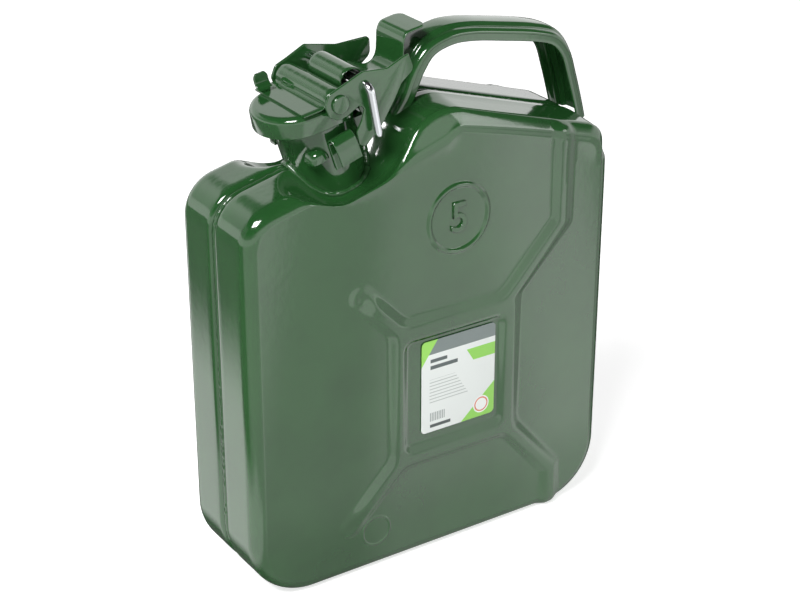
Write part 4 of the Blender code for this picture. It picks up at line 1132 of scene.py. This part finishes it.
head_turn = np.linspace(0, 2 * math.pi, 48, endpoint=False)
head = AXLE + HEAD_R * np.stack([np.cos(head_turn), np.sin(head_turn)], 1)
dress(plate("near_rivet_head", head, -HEAD_OUT, -HEAD_IN, HEAD_RIM), "lid", "near_rivet")
dress(plate("far_rivet_head", head, HEAD_IN, HEAD_OUT, HEAD_RIM), "lid", "far_rivet")

# %% [markdown]
# ## Pin
#
# The safety pin is 5 mm wire, straight through both cheeks and bent down outside the near one. A curve
# with a round bevel would leave flat ends, so the circles are worked out here and shrink over a low dome.

# %% Bend the pin
PIN_R = 2.5 * MM
PIN_BEND = 5.0 * MM
PIN_NEAR, PIN_FAR = -36.2 * MM, 33.5 * MM
LEG_BACK, LEG_DOWN = 5.8 * MM, 30.1 * MM
DOME_RISE = 0.35
DOME_LEAST = 0.25


def wire(name, path, radius, finish):
    """Round wire: circles of the given radius across a 3-D path, with domed ends."""
    tangent = unit(np.gradient(path, axis=0))
    side = unit(np.cross(tangent, np.array([1.0, 0.13, 0.0])))
    other = np.cross(tangent, side)
    dome = np.linspace(0, math.pi / 2, 6)[:-1]
    rise = (radius * DOME_RISE * np.cos(dome))[:, None]
    line = np.concatenate([path[0] - tangent[0] * rise, path[1:-1], path[-1] + tangent[-1] * rise[::-1]])
    end_r = radius * np.sin(np.maximum(dome, DOME_LEAST))
    r = np.concatenate([end_r, np.full(len(path) - 2, radius), end_r[::-1]])[:, None, None]
    u, v = (np.concatenate([np.repeat(w[:1], len(dome), 0), w[1:-1], np.repeat(w[-1:], len(dome), 0)])
            for w in (side, other))
    a = np.linspace(0, 2 * math.pi, 32, endpoint=False)[None, :, None]
    return sweep_piece(name, line[:, None] + r * (u[:, None] * np.cos(a) + v[:, None] * np.sin(a)), finish)


def pin_path():
    """From the far end straight to the near side, round a quarter circle, and down the leg."""
    corner = np.array([PIN[0], PIN_NEAR, PIN[1]])
    foot = corner + np.array([LEG_BACK, 0.0, -LEG_DOWN])
    down = unit(foot - corner)
    inward = np.array([0.0, PIN_BEND, 0.0])
    a = np.linspace(0, math.pi / 2, 14)[:, None]
    arc = corner + inward * (1 - np.sin(a)) + down * PIN_BEND * (1 - np.cos(a))
    far = np.array([PIN[0], PIN_FAR, PIN[1]])
    lead = far + (arc[0] - far) * np.linspace(0, 1, 20)[:-1, None]
    tail = arc[-1] + (foot - arc[-1]) * np.linspace(0, 1, 12)[1:, None]
    return np.concatenate([lead, arc, tail])


dress(wire("zinc_pin", pin_path(), PIN_R, ZINC), "safety_pin", "safety_pin")

# %% [markdown]
# ## Label
#
# The label is coated paper, printed and glued into the dish. It could carry a picture, but a few plain
# fields are sharp at any size: a grey band, lime corners, ruled lines and a ring. Each field is a colour
# and the bands that its place has to lie in, in millimetres from the label's lower left corner.

# %% Design the label
LABEL_LOW = np.array([-11.85, 86.9]) * MM
LABEL_HIGH = np.array([43.65, 150.9]) * MM
LABEL_R = 3.0 * MM
PAPER_Y = -40.4 * MM
PAPER_THICK = 0.3 * MM
PAPER_RIM = 0.08 * MM
PAPER = "#e6ebe8"
# Values that lean across the label: how much of u and of v each one takes.
LEANING = {"u": (1.0, 0.0), "v": (0.0, 1.0), "left": (1.0, -0.7), "right": (0.9, -1.0), "slope": (1.0, 0.62)}
# Values that start again after every step, in millimetres.
RULED = {"line": ("v", 2.3), "bar": ("u", 1.3)}
RING_CENTRE = (45.5, 0.0, 8.6)
FAR = 1000.0
FIELDS = [
    ("#7d8886", [("v", 54.5, 70.0)]),
    ("#9bd964", [("left", -FAR, -33.0)]),
    ("#93d45c", [("right", 27.0, FAR), ("v", -FAR, 24.0)]),
    ("#93d45c", [("v", 42.0, 50.5), ("slope", 65.0, FAR)]),
    ("#f3f5f2", [("ring", -FAR, 6.0)]),
    ("#d97b5a", [("ring", 4.2, 5.1)]),
    ("#b4bbb8", [("line", -FAR, 0.598), ("u", 6.0, FAR), ("slope", -FAR, 48.0), ("v", 19.0, 37.0)]),
    ("#5a6463", [("v", 44.0, 46.6), ("u", 6.5, 27.0)]),
    ("#5a6463", [("v", 48.6, 51.0), ("u", 6.5, 19.0)]),
    ("#8e9694", [("bar", -FAR, 0.65), ("u", 6.5, 17.5), ("v", 7.5, 13.5)]),
    ("#4c5453", [("v", 3.0, 5.2), ("u", 6.5, 22.0)]),
]


# %% Print the label
def printed_paper():
    """Coated paper with the fields laid over each other, wherever every value lies in its band."""
    made, tree = new_material("coated_paper_print")
    place = add_node(tree, "ShaderNodeTexCoord").outputs["Object"]
    local = add_node(tree, "ShaderNodeVectorMath", {"operation": "SUBTRACT"}, {
        0: place, 1: (LABEL_LOW[0], 0.0, LABEL_LOW[1])})
    flat = add_node(tree, "ShaderNodeVectorMath", {"operation": "MULTIPLY"}, {
        0: local.outputs[0], 1: (1 / MM, 0.0, 1 / MM)}).outputs[0]
    value = {
        name: add_node(tree, "ShaderNodeVectorMath", {"operation": "DOT_PRODUCT"}, {
            0: flat, 1: (u, 0.0, v)}).outputs["Value"]
        for name, (u, v) in LEANING.items()}
    for name, (source, step) in RULED.items():
        value[name] = add_node(tree, "ShaderNodeMath", {"operation": "FLOORED_MODULO"}, {
            0: value[source], 1: step}).outputs[0]
    value["ring"] = add_node(tree, "ShaderNodeVectorMath", {"operation": "DISTANCE"}, {
        0: flat, 1: RING_CENTRE}).outputs["Value"]
    colour = hex_colour(PAPER)
    for ink, bands in FIELDS:
        mask = 1.0
        for name, low, high in bands:
            inside = add_node(tree, "ShaderNodeMath", {"operation": "COMPARE"}, {
                0: value[name], 1: (low + high) / 2, 2: (high - low) / 2}).outputs[0]
            mask = add_node(tree, "ShaderNodeMath", {"operation": "MULTIPLY"}, {
                0: mask, 1: inside}).outputs[0]
        colour = add_node(tree, "ShaderNodeMix", {"data_type": "RGBA"}, {
            0: mask, 6: colour, 7: hex_colour(ink)}).outputs[2]
    shader = add_node(tree, "ShaderNodeBsdfPrincipled", inputs={
        "Base Color": colour, "Roughness": 0.32, "IOR": 1.45})
    close_material(tree, shader)
    return made


label_corners = np.array([
    LABEL_LOW, (LABEL_HIGH[0], LABEL_LOW[1]), LABEL_HIGH, (LABEL_LOW[0], LABEL_HIGH[1])])
label_outline = rounded_polygon(label_corners, LABEL_R)
label = plate("paper_label", label_outline, PAPER_Y, PAPER_Y + PAPER_THICK, PAPER_RIM, printed_paper())
dress(label, "can", "label")

# %% [markdown]
# ## Floor, sky and lamps
#
# The can stands on white paper, lit by large soft boxes. Glossy paint shows whatever stands round it, so
# the paper and the sky are as important as the lamps. Real panels out of the picture would do, but they
# would also light the can. So reflections see a light map of their own, in which each line is a smooth
# ramp of one value that is added to, multiplied with or taken from the light so far.


# %% Light maps
def light_map(tree, steps, light=0.0):
    """Folds steps (how, value, low, high, start, end) into one strength: while the value goes from low to
    high, the step goes smoothly from start to end. A step of two, (how, value), takes the value as it is."""
    for how, value, *span in steps:
        if span:
            low, high, start, end = span
            value = add_node(tree, "ShaderNodeMapRange", {"interpolation_type": "SMOOTHSTEP"}, {
                "Value": value, "From Min": low, "From Max": high, "To Min": start, "To Max": end}).outputs[0]
        light = add_node(tree, "ShaderNodeMath", {"operation": how}, {0: light, 1: value}).outputs[0]
    return light


# %% Set the floor
FLOOR_HALF = 3.0
FLOOR_SEEN = 0.68
STREAK_LEAN = 0.66
STREAK_AT = 0.04


def paper_floor():
    """White paper. It is plain diffuse for light. The camera sees it near white and with the can's shadow,
    and reflections see three lit parts: a streak that leans away to the right, a dim one left of the can, and
    a bright one behind on the left. Under the can and near it the glow that reflections see is turned down: a
    painted shadow of the can."""
    made, tree = new_material("white_paper_sweep")
    path = add_node(tree, "ShaderNodeLightPath")
    place = add_node(tree, "ShaderNodeTexCoord").outputs["Object"]
    parts = add_node(tree, "ShaderNodeSeparateXYZ", inputs={0: place})
    x, y = parts.outputs["X"], parts.outputs["Y"]
    streak = light_map(tree, [("ADD", STREAK_AT), ("MULTIPLY", STREAK_LEAN), ("ADD", x)], y)
    front = light_map(tree, [
        ("ADD", streak, -0.17, -0.13, 0.6, 0.0),
        ("MULTIPLY", x, -0.15, -0.05, 0.0, 1.0),
        ("ADD", streak, -0.065, -0.025, 0.85, 1.25),
        ("ADD", streak, 0.04, 0.12, 0.0, 0.45),
        ("SUBTRACT", streak, 0.16, 0.22, 0.0, 0.9),
        # The next two steps darken the reflected glow near the can: a painted shadow of the can.
        ("MULTIPLY", y, -0.140, -0.060, 1.0, 0.72),
        ("MULTIPLY", y, -0.052, -0.030, 1.0, 0.20),
    ])
    behind = light_map(tree, [
        ("ADD", x, -0.330, -0.240, 0.20, 1.50),
        ("MULTIPLY", x, -0.16, -0.13, 1.0, 0.0),
        ("MULTIPLY", y, -0.22, -0.12, 0.0, 1.0),
    ])
    mirrored = light_map(tree, [("MAXIMUM", behind)], front)
    glow = add_node(tree, "ShaderNodeEmission", inputs={"Strength": mirrored})
    plain = add_node(tree, "ShaderNodeBsdfDiffuse", inputs={"Color": hex_colour("#f4f4f4")})
    white = light_map(tree, [("MULTIPLY", FLOOR_SEEN)], path.outputs["Is Camera Ray"])
    seen = add_node(tree, "ShaderNodeEmission", inputs={"Strength": white})
    lit = add_node(tree, "ShaderNodeAddShader", inputs={0: plain.outputs[0], 1: seen.outputs[0]})
    close_material(tree, add_node(tree, "ShaderNodeMixShader", inputs={
        0: path.outputs["Is Glossy Ray"], 1: lit.outputs[0], 2: glow.outputs[0]}))
    return made


floor_points = np.array([(-1, -1, 0), (1, -1, 0), (1, 1, 0), (-1, 1, 0)]) * FLOOR_HALF
floor = mesh_piece("floor", floor_points, np.array([[0, 1, 2, 3]]), finish=paper_floor())


# %% Set the sky
def studio_sky():
    """World: white to the camera. To the can it is a pale wall behind, a lower pale wall in front, dimmer
    high on the left, and a dark ceiling. The ramps run over the sine of the height above the floor."""
    sky = bpy.data.worlds.new("studio_sky")
    sky.use_nodes = True
    tree = sky.node_tree
    tree.nodes.clear()
    path = add_node(tree, "ShaderNodeLightPath")
    place = add_node(tree, "ShaderNodeTexCoord").outputs["Generated"]
    parts = add_node(tree, "ShaderNodeSeparateXYZ", inputs={0: place})
    x, y, z = (parts.outputs[k] for k in "XYZ")
    back = light_map(tree, [
        ("ADD", z, 0.545, 0.590, 1.4, 0.16),
        ("MULTIPLY", z, 0.20, 0.42, 1.15, 1.0),
        ("MULTIPLY", y, -0.05, 0.15, 0.0, 1.0),
    ])
    front = light_map(tree, [("ADD", z, 0.22, 0.42, 1.5, 0.10), ("MULTIPLY", y, -0.05, 0.15, 1.0, 0.0)])
    left = light_map(tree, [("ADD", x, -0.75, -0.25, 0.3, 1.0), ("MAXIMUM", z, 0.15, 0.25, 1.0, 0.0)])
    wall = light_map(tree, [("ADD", front), ("MULTIPLY", left), ("MULTIPLY", z, 0.62, 0.80, 1.0, 0.35)], back)
    lit = add_node(tree, "ShaderNodeBackground", inputs={"Strength": wall})
    white = add_node(tree, "ShaderNodeBackground", inputs={"Strength": 1.0})
    pick = add_node(tree, "ShaderNodeMixShader", inputs={
        0: path.outputs["Is Camera Ray"], 1: lit.outputs[0], 2: white.outputs[0]})
    add_node(tree, "ShaderNodeOutputWorld", inputs={"Surface": pick.outputs[0]})
    bpy.context.scene.world = sky


studio_sky()

# %% Set the lamps
LAMPS = [
    # name, place, aim, width, height, watts
    ("key_softbox", (-1.4, -0.8, 1.95), (0.0, 0.0, 0.2), 1.1, 0.6, 55.0),
    ("fill_softbox", (1.4, -1.6, 0.95), (0.0, 0.0, 0.15), 0.9, 0.45, 3.0),
]


def softbox(name, place, aim, width, height, watts):
    """Rectangular area lamp turned to face its aim."""
    data = bpy.data.lights.new(name, "AREA")
    data.shape = "RECTANGLE"
    data.size = width
    data.size_y = height
    data.energy = watts
    lamp = bpy.data.objects.new(name, data)
    bpy.context.scene.collection.objects.link(lamp)
    lamp.location = place
    lamp.rotation_euler = (Vector(aim) - Vector(place)).to_track_quat("-Z", "Y").to_euler()
    print(name, watts, "W")


for row in LAMPS:
    softbox(*row)

# %% Update the scene
bpy.context.view_layer.update()
